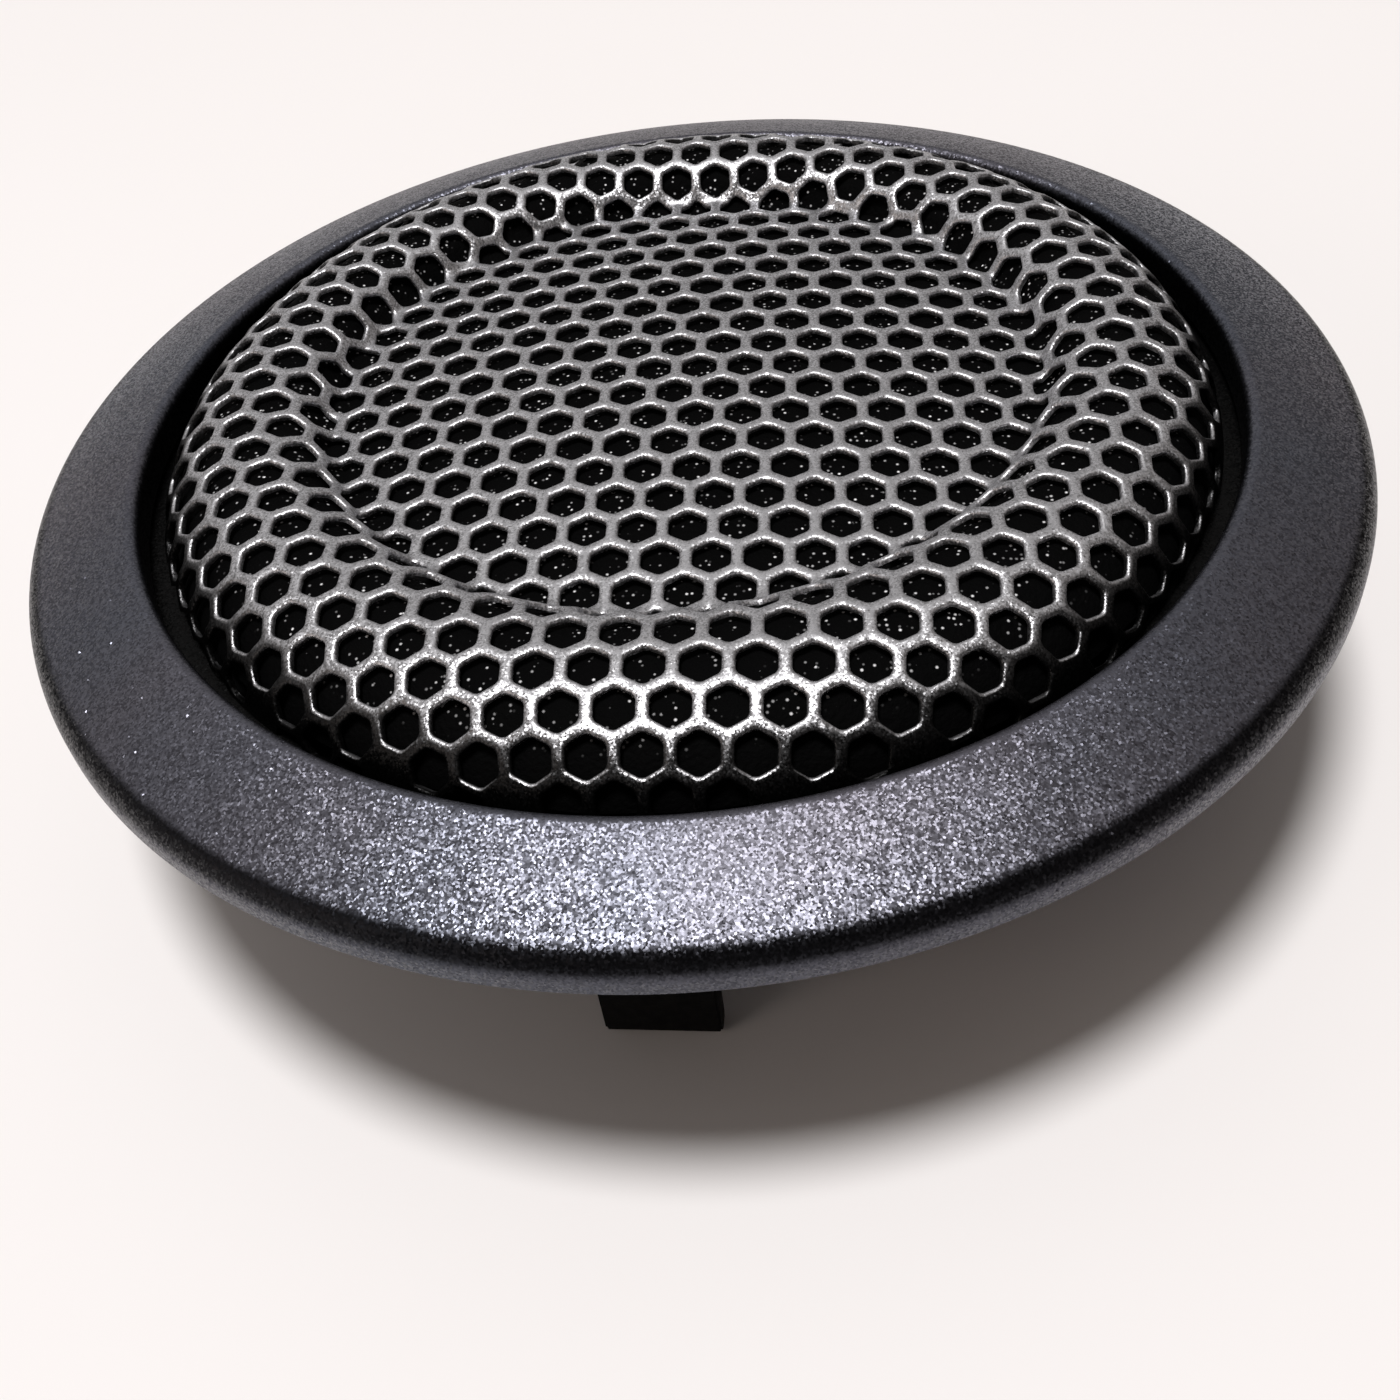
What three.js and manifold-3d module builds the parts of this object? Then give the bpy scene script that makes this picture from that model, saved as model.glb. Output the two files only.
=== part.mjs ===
// Flush-mount car tweeter: a round bezel with a rolled mesh grille, a 25 mm soft dome driver
// behind it, and three snap legs that hold it in a hole in a door or dashboard panel.
//
// Millimetres. The speaker's axis is the Z axis and +Z is the way the sound leaves. The feet of
// the legs stand at z = 0. Azimuths are in degrees about +Z, counted from +X.

import * as THREE from 'three';
import { mergeVertices } from 'three/addons/utils/BufferGeometryUtils.js';
import Module from 'manifold-3d';

// Driving dimensions
const FLANGE_R = 29; // outside of the bezel
const FLANGE_BOTTOM = 12; // underside of the bezel
const RIM_TOP = 13; // top of the bezel's upright edge
const BEZEL_INNER_R = 23.7; // edge of the bezel around the grille
const BEZEL_INNER_TOP = 15.05;
const SEAT_Z = 11.7; // face that lands on the panel
const COLLAR_R = 24.7; // part of the body inside the panel's 50 mm hole
const COLLAR_TOP = 12.3;
const GRILLE_R = 23; // outside of the grille's upright wall
const GRILLE_WALL_TOP = 13.2; // where the wall turns into the roll
const CREST_R = 18.7;
const CREST_Z = 16.55;
const DISH_R = 15.5; // edge of the sunk middle of the grille
const DISH_SHIFT = 1.4; // the dish and the crest are pressed this far off centre, towards +Y
const DISH_TOP = 15.98;
const DISH_FALL = 0.0038; // drop of the middle, times radius squared
const SHEET = 0.5; // grille sheet
const GAP = 0.3; // clearance between neighbouring pieces
const DOME_R = 12.5;
const DOME_RISE = 4.1;
const CONE_LINE = 9.75; // top of the glued edges of dome and surround
const SKIN = 0.3; // dome and surround cloth
const POT_R = 15.5;
const POT_TOP = 8.5;
const POT_BOTTOM = 1.7;
const FRAME_R = 20.3; // driver frame and faceplate
const FRAME_BOTTOM = 8.3;
const FRAME_TOP = 9.3;
const PLATE_BOTTOM = 9.9;
const LEG_WIDTH = 4.75;
const LEG_ROOT_Z = 10.9;
const LEG_AZIMUTHS = { front: -90, right: 30, left: 150 };
const SCREW_CIRCLE_R = 17.9;
const SCREW_HOLE_R = 1.1;
const TERMINAL_X = 3.2; // blades sit this far either side of the Y axis
const RIVET_Y = 18.2;
const RIVET_HOLE_R = 0.75;
const BLADE_Z = 4.7; // underside of the blades
const BLADE_THICK = 0.5;
const BOARD_BOTTOM = BLADE_Z + BLADE_THICK + GAP;
const BOARD_TOP = 6.7;
const CAPACITOR_AZIMUTH = -30;
const CAPACITOR_R = 2.2;
const CAPACITOR_LENGTH = 9;
const CAPACITOR_Z = 4.9;
const CAPACITOR_CIRCLE_R = 18;
const WIRE_HOLE_CIRCLE_R = 16.8;
const WIRE_HOLE_R = 0.7;
const POSITIVE_HOLE_AZIMUTH = -58;
const NEGATIVE_HOLE_AZIMUTH = 115;

const WIDE_STEPS = 48; // facets around the large rings
const SMALL_STEPS = 36; // facets around the driver's rings

const wasm = await Module();
wasm.setup();

const tweeter = new THREE.Group();

function finish(color, roughness, metalness) {
  return new THREE.MeshStandardMaterial({ color, roughness, metalness });
}

const bezelPaint = finish(0x2e2c2b, 0.45, 0.3);
const meshPaint = finish(0x232325, 0.35, 0.5);
const blackPlastic = finish(0x0c0c0c, 0.5, 0);
const framePlastic = finish(0x17171a, 0.55, 0);
const foam = finish(0x101010, 0.95, 0);
const cloth = finish(0x0a0a0a, 0.95, 0);
const silk = finish(0x1a1614, 0.6, 0);
const felt = finish(0x8c8880, 0.95, 0);
const plating = finish(0xb9bcc0, 0.3, 1);
const zincSteel = finish(0x9a9ca0, 0.4, 1);
const copper = finish(0xb06a3c, 0.35, 1);
const kapton = finish(0xa8672a, 0.4, 0);
const phenolic = finish(0x5a3a22, 0.6, 0);
const tinnedBrass = finish(0xc8c3b4, 0.3, 1);
const sleeve = finish(0x23305c, 0.5, 0);
const redInsulation = finish(0x9c1712, 0.5, 0);
const blackInsulation = finish(0x0e0e0e, 0.5, 0);

function addPiece(name, geometry, material, parent = tweeter) {
  const piece = new THREE.Mesh(geometry, material);
  piece.name = name;
  parent.add(piece);
  return piece;
}

// A group turned so that its +X points outward at the given azimuth
function spoke(azimuth) {
  const group = new THREE.Group();
  group.rotation.z = THREE.MathUtils.degToRad(azimuth);
  tweeter.add(group);
  return group;
}

// Turns a radius and height profile about Z. The profile runs anticlockwise.
function turned(profile, steps) {
  const points = profile.map(([r, z]) => new THREE.Vector2(r, z));
  return new THREE.LatheGeometry(points, steps).rotateX(Math.PI / 2);
}

function ring(profile, steps = WIDE_STEPS) {
  return turned([...profile, profile[0]], steps);
}

function disc(radius, bottom, top, steps = SMALL_STEPS) {
  return turned([[0, bottom], [radius, bottom], [radius, top], [0, top]], steps);
}

// Points along part of an ellipse, angles in degrees from the outward direction
function arc(centreR, centreZ, radiusR, radiusZ, from, to, steps) {
  const points = [];
  for (let i = 0; i <= steps; i += 1) {
    const angle = THREE.MathUtils.degToRad(from + ((to - from) * i) / steps);
    points.push([centreR + radiusR * Math.cos(angle), centreZ + radiusZ * Math.sin(angle)]);
  }
  return points;
}

// The same profile, moved a distance towards its underside. It runs outward from the axis.
function under(profile, distance) {
  return profile.map((point, i) => {
    const before = profile[Math.max(i - 1, 0)];
    const after = profile[Math.min(i + 1, profile.length - 1)];
    const run = after[0] - before[0];
    const rise = after[1] - before[1];
    const length = Math.hypot(run, rise);
    const onAxis = point[0] === 0;
    const r = onAxis ? 0 : point[0] + (distance * rise) / length;
    const z = onAxis ? point[1] - distance : point[1] - (distance * run) / length;
    return [r, z];
  });
}

// Closed profile of a skin between two depths below a surface
function skinProfile(surface, depth, thickness) {
  const top = depth === 0 ? surface : under(surface, depth);
  return [...under(surface, depth + thickness), ...top.toReversed()];
}

function toSolid(geometry) {
  const bare = new THREE.BufferGeometry();
  bare.setAttribute('position', geometry.getAttribute('position'));
  bare.setIndex(geometry.getIndex());
  const welded = mergeVertices(bare, 1e-4);
  const vertProperties = new Float32Array(welded.getAttribute('position').array);
  const triVerts = new Uint32Array(welded.getIndex().array);
  return new wasm.Manifold(new wasm.Mesh({ numProp: 3, vertProperties, triVerts }));
}

function toGeometry(solid) {
  const mesh = solid.getMesh();
  const geometry = new THREE.BufferGeometry();
  geometry.setAttribute('position', new THREE.BufferAttribute(mesh.vertProperties, 3));
  geometry.setIndex(new THREE.BufferAttribute(mesh.triVerts, 1));
  return geometry;
}

function cut(geometry, cutters) {
  let solid = toSolid(geometry);
  for (const cutter of cutters) {
    solid = solid.subtract(toSolid(cutter));
  }
  return toGeometry(solid);
}

function post(radius, bottom, top, x, y) {
  return disc(radius, bottom, top, 12).translate(x, y, 0);
}

function block(fromX, toX, fromY, toY, fromZ, toZ) {
  const box = new THREE.BoxGeometry(toX - fromX, toY - fromY, toZ - fromZ);
  return box.translate((fromX + toX) / 2, (fromY + toY) / 2, (fromZ + toZ) / 2);
}

function polar(radius, azimuth) {
  const angle = THREE.MathUtils.degToRad(azimuth);
  return [radius * Math.cos(angle), radius * Math.sin(angle)];
}

const legAzimuths = Object.values(LEG_AZIMUTHS);

// Bezel: an edge, a rounded corner, a slightly crowned top and a pocket for the grille's hem
const pocketTop = GRILLE_WALL_TOP - 0.1 + GAP;
const pocketR = 24.9;
const grooveInner = 26.4;
const grooveOuter = 28.2;
const grooveTop = 12.8;

function bezelRing() {
  const corner = arc(FLANGE_R - 0.65, RIM_TOP, 0.65, 0.65, 0, 70, 3);
  const crown = [[27.2, 14.15], [25.8, 14.62]];
  const lip = arc(BEZEL_INNER_R + 0.45, BEZEL_INNER_TOP - 0.45, 0.45, 0.45, 75, 180, 3);
  return ring([
    [FLANGE_R, FLANGE_BOTTOM],
    ...corner,
    ...crown,
    ...lip,
    [BEZEL_INNER_R, pocketTop],
    [pocketR, pocketTop],
    [pocketR, FLANGE_BOTTOM],
    [grooveInner, FLANGE_BOTTOM],
    [grooveInner, grooveTop],
    [grooveOuter, grooveTop],
    [grooveOuter, FLANGE_BOTTOM],
  ]);
}

function flangeGasket() {
  const inner = grooveInner + 0.1;
  const outer = grooveOuter - 0.1;
  const top = grooveTop - 0.1;
  return ring([[inner, SEAT_Z], [outer, SEAT_Z], [outer, top], [inner, top]]);
}

// Distance from the axis to a circle centred off the axis along +Y, at an azimuth in radians
function offCentreRadius(radius, shift, azimuth) {
  return shift * Math.sin(azimuth) + Math.sqrt(radius ** 2 - (shift * Math.cos(azimuth)) ** 2);
}

// Rise from the dish to the crest, as shares of its width and height: a short foot, a steep
// face and a long level top
const riseCurve = new THREE.CubicBezierCurve(
  new THREE.Vector2(0, 0),
  new THREE.Vector2(0.14, 0),
  new THREE.Vector2(0.1, 1),
  new THREE.Vector2(1, 1),
);

// Upper surface of the grille from the axis to the foot of its wall: a shallow crown in the
// middle, a rise to the crest and a round shoulder down to the wall
function grilleSurface(azimuth) {
  const edge = offCentreRadius(DISH_R, DISH_SHIFT, azimuth);
  const middle = [0, 0.5, 1].map((share) => {
    const r = share * edge;
    return [r, DISH_TOP - DISH_FALL * r * r];
  });
  const edgeZ = middle[2][1];
  const rise = riseCurve.getPoints(5).slice(1, -1).map(({ x: out, y: up }) => {
    const radius = DISH_R + out * (CREST_R - DISH_R);
    return [offCentreRadius(radius, DISH_SHIFT, azimuth), edgeZ + up * (CREST_Z - edgeZ)];
  });
  const shoulder = arc(0, 0, 1, 1, 90, 0, 5).map(([out, up]) => {
    const radius = CREST_R + out * (GRILLE_R - CREST_R);
    const height = Math.max(up, 0) ** 1.25 * (CREST_Z - GRILLE_WALL_TOP);
    return [offCentreRadius(radius, DISH_SHIFT * (1 - out), azimuth), GRILLE_WALL_TOP + height];
  });
  return [...middle, ...rise, ...shoulder];
}

// Turns a profile that changes with the azimuth
function turnedByAzimuth(profileAt, steps) {
  const geometry = turned(profileAt(0), steps);
  const position = geometry.getAttribute('position');
  for (let i = 0; i <= steps; i += 1) {
    const azimuth = (2 * Math.PI * (i % steps)) / steps - Math.PI / 2;
    const profile = profileAt(azimuth);
    profile.forEach(([r, z], j) => {
      const vertex = i * profile.length + j;
      position.setXYZ(vertex, r * Math.cos(azimuth), r * Math.sin(azimuth), z);
    });
  }
  return geometry;
}

function grilleMesh() {
  const hemR = pocketR - GAP;
  const hemTop = pocketTop - GAP;
  const hemBottom = hemTop - SHEET;
  const profileAt = (azimuth) => {
    const surface = grilleSurface(azimuth);
    return [
      ...under(surface, SHEET),
      [GRILLE_R - SHEET, hemBottom],
      [hemR, hemBottom],
      [hemR, hemTop],
      [GRILLE_R, hemTop],
      ...surface.toReversed(),
    ];
  };
  return turnedByAzimuth(profileAt, WIDE_STEPS);
}

function grilleScrim() {
  const profileAt = (azimuth) => {
    const everyOther = grilleSurface(azimuth).filter((point, i) => i % 2 === 0);
    return skinProfile(everyOther, SHEET + GAP, SKIN);
  };
  return turnedByAzimuth(profileAt, SMALL_STEPS);
}

// Collar: the plastic body behind the bezel, with a lip under the driver and a slot for each leg
function mountingCollar() {
  const shell = ring([
    [19.8, 7.3],
    [21.3, 7.3],
    [21.3, 9.8],
    [COLLAR_R, 9.8],
    [COLLAR_R, COLLAR_TOP],
    [FRAME_R + GAP, COLLAR_TOP],
    [FRAME_R + GAP, 8],
    [19.8, 8],
  ]);
  const halfSlot = LEG_WIDTH / 2 + 0.5;
  const slots = legAzimuths.map((azimuth) => {
    const slot = block(22.4, COLLAR_R + 1, -halfSlot, halfSlot, 9, LEG_ROOT_Z + GAP);
    return slot.rotateZ(THREE.MathUtils.degToRad(azimuth));
  });
  return cut(shell, slots);
}

// Snap leg: a flat foot, a thin springy strip and a barb that grips the back of the panel
function snapLeg() {
  const outline = [
    [22.9, LEG_ROOT_Z],
    [22.7, 8],
    [21.8, 3.2],
    [21.8, 0.3],
    [22, 0],
    [22.7, 0],
    [23, 0.4],
    [23, 4.6],
    [23.2, 5.4],
    [25.4, 7.9],
    [25.4, 8.3],
    [23.9, 9],
    [23.9, LEG_ROOT_Z],
  ];
  const shape = new THREE.Shape(outline.map(([r, z]) => new THREE.Vector2(r, z)));
  const strip = new THREE.ExtrudeGeometry(shape, { depth: LEG_WIDTH, bevelEnabled: false });
  return strip.translate(0, 0, -LEG_WIDTH / 2).rotateX(Math.PI / 2);
}

// Driver: faceplate, frame, motor and diaphragm
const PLATE_INNER_R = 16;
const blindTop = 10.6;

function faceplate() {
  const plate = ring([
    [PLATE_INNER_R, PLATE_BOTTOM],
    [FRAME_R, PLATE_BOTTOM],
    [FRAME_R, 12],
    [PLATE_INNER_R, 10.8],
  ], SMALL_STEPS);
  const holes = legAzimuths.map((azimuth) => {
    const [x, y] = polar(SCREW_CIRCLE_R, azimuth);
    return post(SCREW_HOLE_R, PLATE_BOTTOM - 1, blindTop, x, y);
  });
  return cut(plate, holes);
}

function driverFrame() {
  const seatInner = 13.8;
  const plate = ring([
    [seatInner, POT_TOP + GAP],
    [POT_R + GAP, POT_TOP + GAP],
    [POT_R + GAP, FRAME_BOTTOM],
    [FRAME_R, FRAME_BOTTOM],
    [FRAME_R, FRAME_TOP],
    [seatInner, FRAME_TOP],
  ], SMALL_STEPS);
  const shelf = block(-5.5, 5.5, 16.2, 18.6, BOARD_TOP + GAP, FRAME_BOTTOM + 0.3);
  const frame = toGeometry(toSolid(plate).add(toSolid(shelf)));
  const screwHoles = legAzimuths.map((azimuth) => {
    const [x, y] = polar(SCREW_CIRCLE_R, azimuth);
    return post(SCREW_HOLE_R, FRAME_BOTTOM - 1, FRAME_TOP + 1, x, y);
  });
  const wireHoles = [POSITIVE_HOLE_AZIMUTH, NEGATIVE_HOLE_AZIMUTH].map((azimuth) => {
    const [x, y] = polar(WIRE_HOLE_CIRCLE_R, azimuth);
    return post(WIRE_HOLE_R, FRAME_BOTTOM - 1, FRAME_TOP + 1, x, y);
  });
  return cut(frame, [...screwHoles, ...wireHoles]);
}

const potInnerR = 13.5;
const potFloor = 3.2;
const magnetTop = 6.4;

function magnetPot() {
  const chamfer = 0.6;
  return turned([
    [0, POT_BOTTOM],
    [POT_R - chamfer, POT_BOTTOM],
    [POT_R, POT_BOTTOM + chamfer],
    [POT_R, POT_TOP],
    [potInnerR, POT_TOP],
    [potInnerR, potFloor],
    [0, potFloor],
  ], SMALL_STEPS);
}

// Points on a spherical cap from its top to its edge
function capSurface(radius, rise, base, steps) {
  const sphere = (radius * radius + rise * rise) / (2 * rise);
  const points = [];
  for (let i = 0; i <= steps; i += 1) {
    const r = (radius * i) / steps;
    points.push([r, base + rise - sphere + Math.sqrt(sphere * sphere - r * r)]);
  }
  return points;
}

const domeLipR = DOME_R + 0.3;

function domeCap() {
  const cap = capSurface(DOME_R, DOME_RISE, CONE_LINE, 6);
  const inside = under(cap, SKIN).slice(0, -1);
  return turned([
    ...inside,
    [DOME_R - SKIN, CONE_LINE - SKIN],
    [domeLipR, CONE_LINE - SKIN],
    [domeLipR, CONE_LINE],
    ...cap.toReversed(),
  ], SMALL_STEPS);
}

function surroundRoll() {
  const roll = arc(14.5, CONE_LINE, 1.1, 1, 180, 0, 6);
  const surface = [[domeLipR + GAP, CONE_LINE], ...roll, [16.6, CONE_LINE]];
  return ring(skinProfile(surface, 0, SKIN), SMALL_STEPS);
}

function tubeRing(inner, outer, bottom, top) {
  return ring([[inner, bottom], [outer, bottom], [outer, top], [inner, top]], SMALL_STEPS);
}

// Pan head screw driven upward through the frame into the faceplate, with a cross recess
function frameScrew() {
  const headR = 1.5;
  const headBottom = 7.2;
  const headTop = FRAME_BOTTOM - GAP;
  const shankR = SCREW_HOLE_R - GAP;
  const body = turned([
    [0, headBottom],
    [headR - 0.4, headBottom],
    [headR, headBottom + 0.35],
    [headR, headTop],
    [shankR, headTop],
    [shankR, blindTop - GAP],
    [0, blindTop - GAP],
  ], 16);
  const slotAcross = block(-0.85, 0.85, -0.18, 0.18, headBottom - 1, headBottom + 0.45);
  const slotAlong = block(-0.18, 0.18, -0.85, 0.85, headBottom - 1, headBottom + 0.45);
  return cut(body, [slotAcross, slotAlong]);
}

// Terminals: a board under the frame's shelf with two riveted blades
function terminalBoard() {
  const board = block(-5.5, 5.5, 16.8, 20.2, BOARD_BOTTOM, BOARD_TOP);
  const blindHoles = [-TERMINAL_X, TERMINAL_X].map((x) => {
    return post(RIVET_HOLE_R, BOARD_BOTTOM - 1, BOARD_TOP - 0.2, x, RIVET_Y);
  });
  return cut(board, blindHoles);
}

function blade() {
  const half = 1.4;
  const back = 16.8;
  const tip = 24.2;
  const shape = new THREE.Shape();
  shape.moveTo(-half, back);
  shape.lineTo(half, back);
  shape.lineTo(half, tip - 0.6);
  shape.lineTo(half - 0.6, tip);
  shape.lineTo(0.6 - half, tip);
  shape.lineTo(-half, tip - 0.6);
  shape.closePath();
  for (const [y, radius] of [[RIVET_Y, RIVET_HOLE_R], [22.8, 0.5]]) {
    const hole = new THREE.Path();
    hole.absarc(0, y, radius, 0, 2 * Math.PI, true);
    shape.holes.push(hole);
  }
  const options = { depth: BLADE_THICK, bevelEnabled: false, curveSegments: 8 };
  return new THREE.ExtrudeGeometry(shape, options).translate(0, 0, BLADE_Z);
}

function rivet() {
  const headBottom = BLADE_Z - GAP - 0.5;
  const shankR = RIVET_HOLE_R - GAP;
  return turned([
    [0, headBottom],
    [0.7, headBottom],
    [1.1, headBottom + 0.3],
    [1.1, BLADE_Z - GAP],
    [shankR, BLADE_Z - GAP],
    [shankR, BOARD_TOP - 0.2 - GAP],
    [0, BOARD_TOP - 0.2 - GAP],
  ], 16);
}

// Capacitor can lying along its own Y axis, with the crimped groove near one end
function capacitor() {
  const half = CAPACITOR_LENGTH / 2;
  const profile = [
    [0, -half],
    [CAPACITOR_R - 0.2, -half],
    [CAPACITOR_R, -half + 0.2],
    [CAPACITOR_R, half - 1.7],
    [CAPACITOR_R - 0.25, half - 1.5],
    [CAPACITOR_R - 0.25, half - 1.3],
    [CAPACITOR_R, half - 1.1],
    [CAPACITOR_R, half - 0.2],
    [CAPACITOR_R - 0.2, half],
    [0, half],
  ];
  return new THREE.LatheGeometry(profile.map(([r, y]) => new THREE.Vector2(r, y)), 20);
}

function wire(points, radius, steps) {
  const route = new THREE.CatmullRomCurve3(points.map(([x, y, z]) => new THREE.Vector3(x, y, z)));
  const section = new THREE.Shape();
  section.absarc(0, 0, radius, 0, 2 * Math.PI, false);
  const options = { extrudePath: route, steps, bevelEnabled: false, curveSegments: 4 };
  return new THREE.ExtrudeGeometry(section, options);
}

// Where a wire meets an end of the capacitor: side is +1 or -1 along the can
function capacitorEnd(side, away) {
  const along = side * (CAPACITOR_LENGTH / 2 + GAP + away);
  const [cx, cy] = polar(CAPACITOR_CIRCLE_R, CAPACITOR_AZIMUTH);
  const [tx, ty] = polar(1, CAPACITOR_AZIMUTH + 90);
  return [cx + along * tx, cy + along * ty, CAPACITOR_Z];
}

const wireStartY = 16.1;
const bladeMiddle = BLADE_Z + BLADE_THICK / 2;

// Positive blade to the capacitor, lying around the motor
function feedWire() {
  const around = [60, 40, 20, 2].map((azimuth) => [...polar(17.1, azimuth), CAPACITOR_Z]);
  const start = [[TERMINAL_X, wireStartY, bladeMiddle], [5.2, 16.2, bladeMiddle]];
  return wire([...start, ...around, capacitorEnd(1, 0)], 0.45, 20);
}

// Capacitor to the hole in the frame that leads to the voice coil
function positiveCoilWire() {
  const [x, y] = polar(WIRE_HOLE_CIRCLE_R, POSITIVE_HOLE_AZIMUTH);
  const end = FRAME_TOP - 0.4;
  const bend = [11.3, -14.6, 6];
  return wire([capacitorEnd(-1, 0), capacitorEnd(-1, 0.8), bend, [x, y, 7.9], [x, y, end]], 0.3, 16);
}

function negativeCoilWire() {
  const [x, y] = polar(WIRE_HOLE_CIRCLE_R, NEGATIVE_HOLE_AZIMUTH);
  const start = [-TERMINAL_X, wireStartY, bladeMiddle];
  return wire([start, [-4.7, 16, 5.3], [-6.3, 15.6, 6.6], [x, y, 7.9], [x, y, FRAME_TOP - 0.4]], 0.3, 14);
}

// Assembly, from the front of the speaker to the back
addPiece('bezel_ring', bezelRing(), bezelPaint);
addPiece('flange_gasket', flangeGasket(), foam);
addPiece('grille_mesh', grilleMesh(), meshPaint);
addPiece('grille_scrim', grilleScrim(), cloth);
addPiece('mounting_collar', mountingCollar(), blackPlastic);
for (const [side, azimuth] of Object.entries(LEG_AZIMUTHS)) {
  addPiece(`snap_leg_${side}`, snapLeg(), blackPlastic, spoke(azimuth));
}

addPiece('faceplate', faceplate(), framePlastic);
addPiece('driver_frame', driverFrame(), framePlastic);
addPiece('dome', domeCap(), silk);
addPiece('surround', surroundRoll(), silk);
addPiece('coil_former', tubeRing(12.7, 12.85, 6.6, CONE_LINE - SKIN - GAP), kapton);
addPiece('voice_coil', tubeRing(12.95, 13.2, 6.6, 8.6), copper);
addPiece('damping_felt', disc(10, POT_TOP + GAP, POT_TOP + GAP + 0.7), felt);
addPiece('pole_plate', disc(12.3, magnetTop + GAP, POT_TOP), zincSteel);
addPiece('magnet', disc(11.5, potFloor + GAP, magnetTop), plating);
addPiece('magnet_pot', magnetPot(), zincSteel);

legAzimuths.forEach((azimuth, i) => {
  const screw = addPiece(`frame_screw_${i + 1}`, frameScrew(), zincSteel, spoke(azimuth));
  screw.position.x = SCREW_CIRCLE_R;
});

addPiece('terminal_board', terminalBoard(), phenolic);
for (const [name, x] of [['positive', TERMINAL_X], ['negative', -TERMINAL_X]]) {
  addPiece(`terminal_${name}`, blade(), tinnedBrass).position.x = x;
  addPiece(`terminal_rivet_${name}`, rivet(), tinnedBrass).position.set(x, RIVET_Y, 0);
}

const capacitorSpoke = spoke(CAPACITOR_AZIMUTH);
const can = addPiece('crossover_capacitor', capacitor(), sleeve, capacitorSpoke);
can.position.set(CAPACITOR_CIRCLE_R, 0, CAPACITOR_Z);
const padBottom = CAPACITOR_Z + CAPACITOR_R + 0.25;
const pad = block(CAPACITOR_CIRCLE_R - 1.2, CAPACITOR_CIRCLE_R + 1.2, -2.5, 2.5, padBottom, padBottom + 0.7);
addPiece('capacitor_pad', pad, foam, capacitorSpoke);

addPiece('feed_wire', feedWire(), redInsulation);
addPiece('coil_wire_positive', positiveCoilWire(), redInsulation);
addPiece('coil_wire_negative', negativeCoilWire(), blackInsulation);

export default tweeter;
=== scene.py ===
import math

import bmesh
import bpy
import numpy as np
from mathutils import Matrix, Vector


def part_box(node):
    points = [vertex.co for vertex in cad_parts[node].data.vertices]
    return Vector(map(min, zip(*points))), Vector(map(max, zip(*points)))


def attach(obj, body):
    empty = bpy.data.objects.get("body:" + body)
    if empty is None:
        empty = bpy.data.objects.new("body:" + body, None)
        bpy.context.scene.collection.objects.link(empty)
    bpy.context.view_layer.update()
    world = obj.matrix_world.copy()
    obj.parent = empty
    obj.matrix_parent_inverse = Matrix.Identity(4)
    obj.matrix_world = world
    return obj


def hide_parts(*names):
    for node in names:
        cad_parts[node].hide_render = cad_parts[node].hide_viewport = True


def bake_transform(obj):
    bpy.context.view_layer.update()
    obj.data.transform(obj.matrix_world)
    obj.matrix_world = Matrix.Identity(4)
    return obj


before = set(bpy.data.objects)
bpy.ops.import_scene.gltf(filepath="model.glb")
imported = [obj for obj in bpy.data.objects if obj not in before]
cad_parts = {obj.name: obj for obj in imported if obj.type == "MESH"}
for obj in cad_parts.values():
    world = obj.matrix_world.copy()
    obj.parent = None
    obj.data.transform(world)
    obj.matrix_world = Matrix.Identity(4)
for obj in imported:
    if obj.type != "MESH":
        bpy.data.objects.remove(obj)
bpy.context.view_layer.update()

MM = 0.001
HOUSING = "housing"


def low(node, axis):
    """Lowest coordinate of a CAD node along axis 0, 1 or 2, in millimetres."""
    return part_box(node)[0][axis] / MM


def high(node, axis):
    """Highest coordinate of a CAD node along axis 0, 1 or 2, in millimetres."""
    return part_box(node)[1][axis] / MM


# Sizes in millimetres, read from the frame
FLANGE_R = high("bezel_ring", 0)
FLANGE_BOTTOM = low("bezel_ring", 2)
BEZEL_TOP = high("bezel_ring", 2)
GASKET_R = high("flange_gasket", 0)
GASKET_BOTTOM = low("flange_gasket", 2)
GASKET_TOP = high("flange_gasket", 2)
HEM_R = high("grille_mesh", 0)
HEM_BOTTOM = low("grille_mesh", 2)
CREST_Z = high("grille_mesh", 2)
COLLAR_R = high("mounting_collar", 0)
COLLAR_TOP = high("mounting_collar", 2)
COLLAR_BOTTOM = low("mounting_collar", 2)
LEG_WIDTH = high("snap_leg_front", 0) - low("snap_leg_front", 0)
PLATE_BOTTOM = low("faceplate", 2)
PLATE_TOP = high("faceplate", 2)
FRAME_R = high("driver_frame", 0)
FRAME_TOP = high("driver_frame", 2)
SHELF_BOTTOM = low("driver_frame", 2)
POT_R = high("magnet_pot", 0)
POT_TOP = high("magnet_pot", 2)
POT_BOTTOM = low("magnet_pot", 2)
COIL_BOTTOM = low("voice_coil", 2)
COIL_TOP = high("voice_coil", 2)
FORMER_R = high("coil_former", 0)
FORMER_TOP = high("coil_former", 2)
SURROUND_R = high("surround", 0)
SCREW_TOP = high("frame_screw_1", 2)
BOARD_HALF_WIDTH = high("terminal_board", 0)
BOARD_NEAR = low("terminal_board", 1)
BOARD_FAR = high("terminal_board", 1)
BOARD_BOTTOM = low("terminal_board", 2)
BOARD_TOP = high("terminal_board", 2)
BLADE_TIP = high("terminal_positive", 1)
BLADE_BOTTOM = low("terminal_positive", 2)
BLADE_TOP = high("terminal_positive", 2)
RIVET_TOP = high("terminal_rivet_positive", 2)

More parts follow.
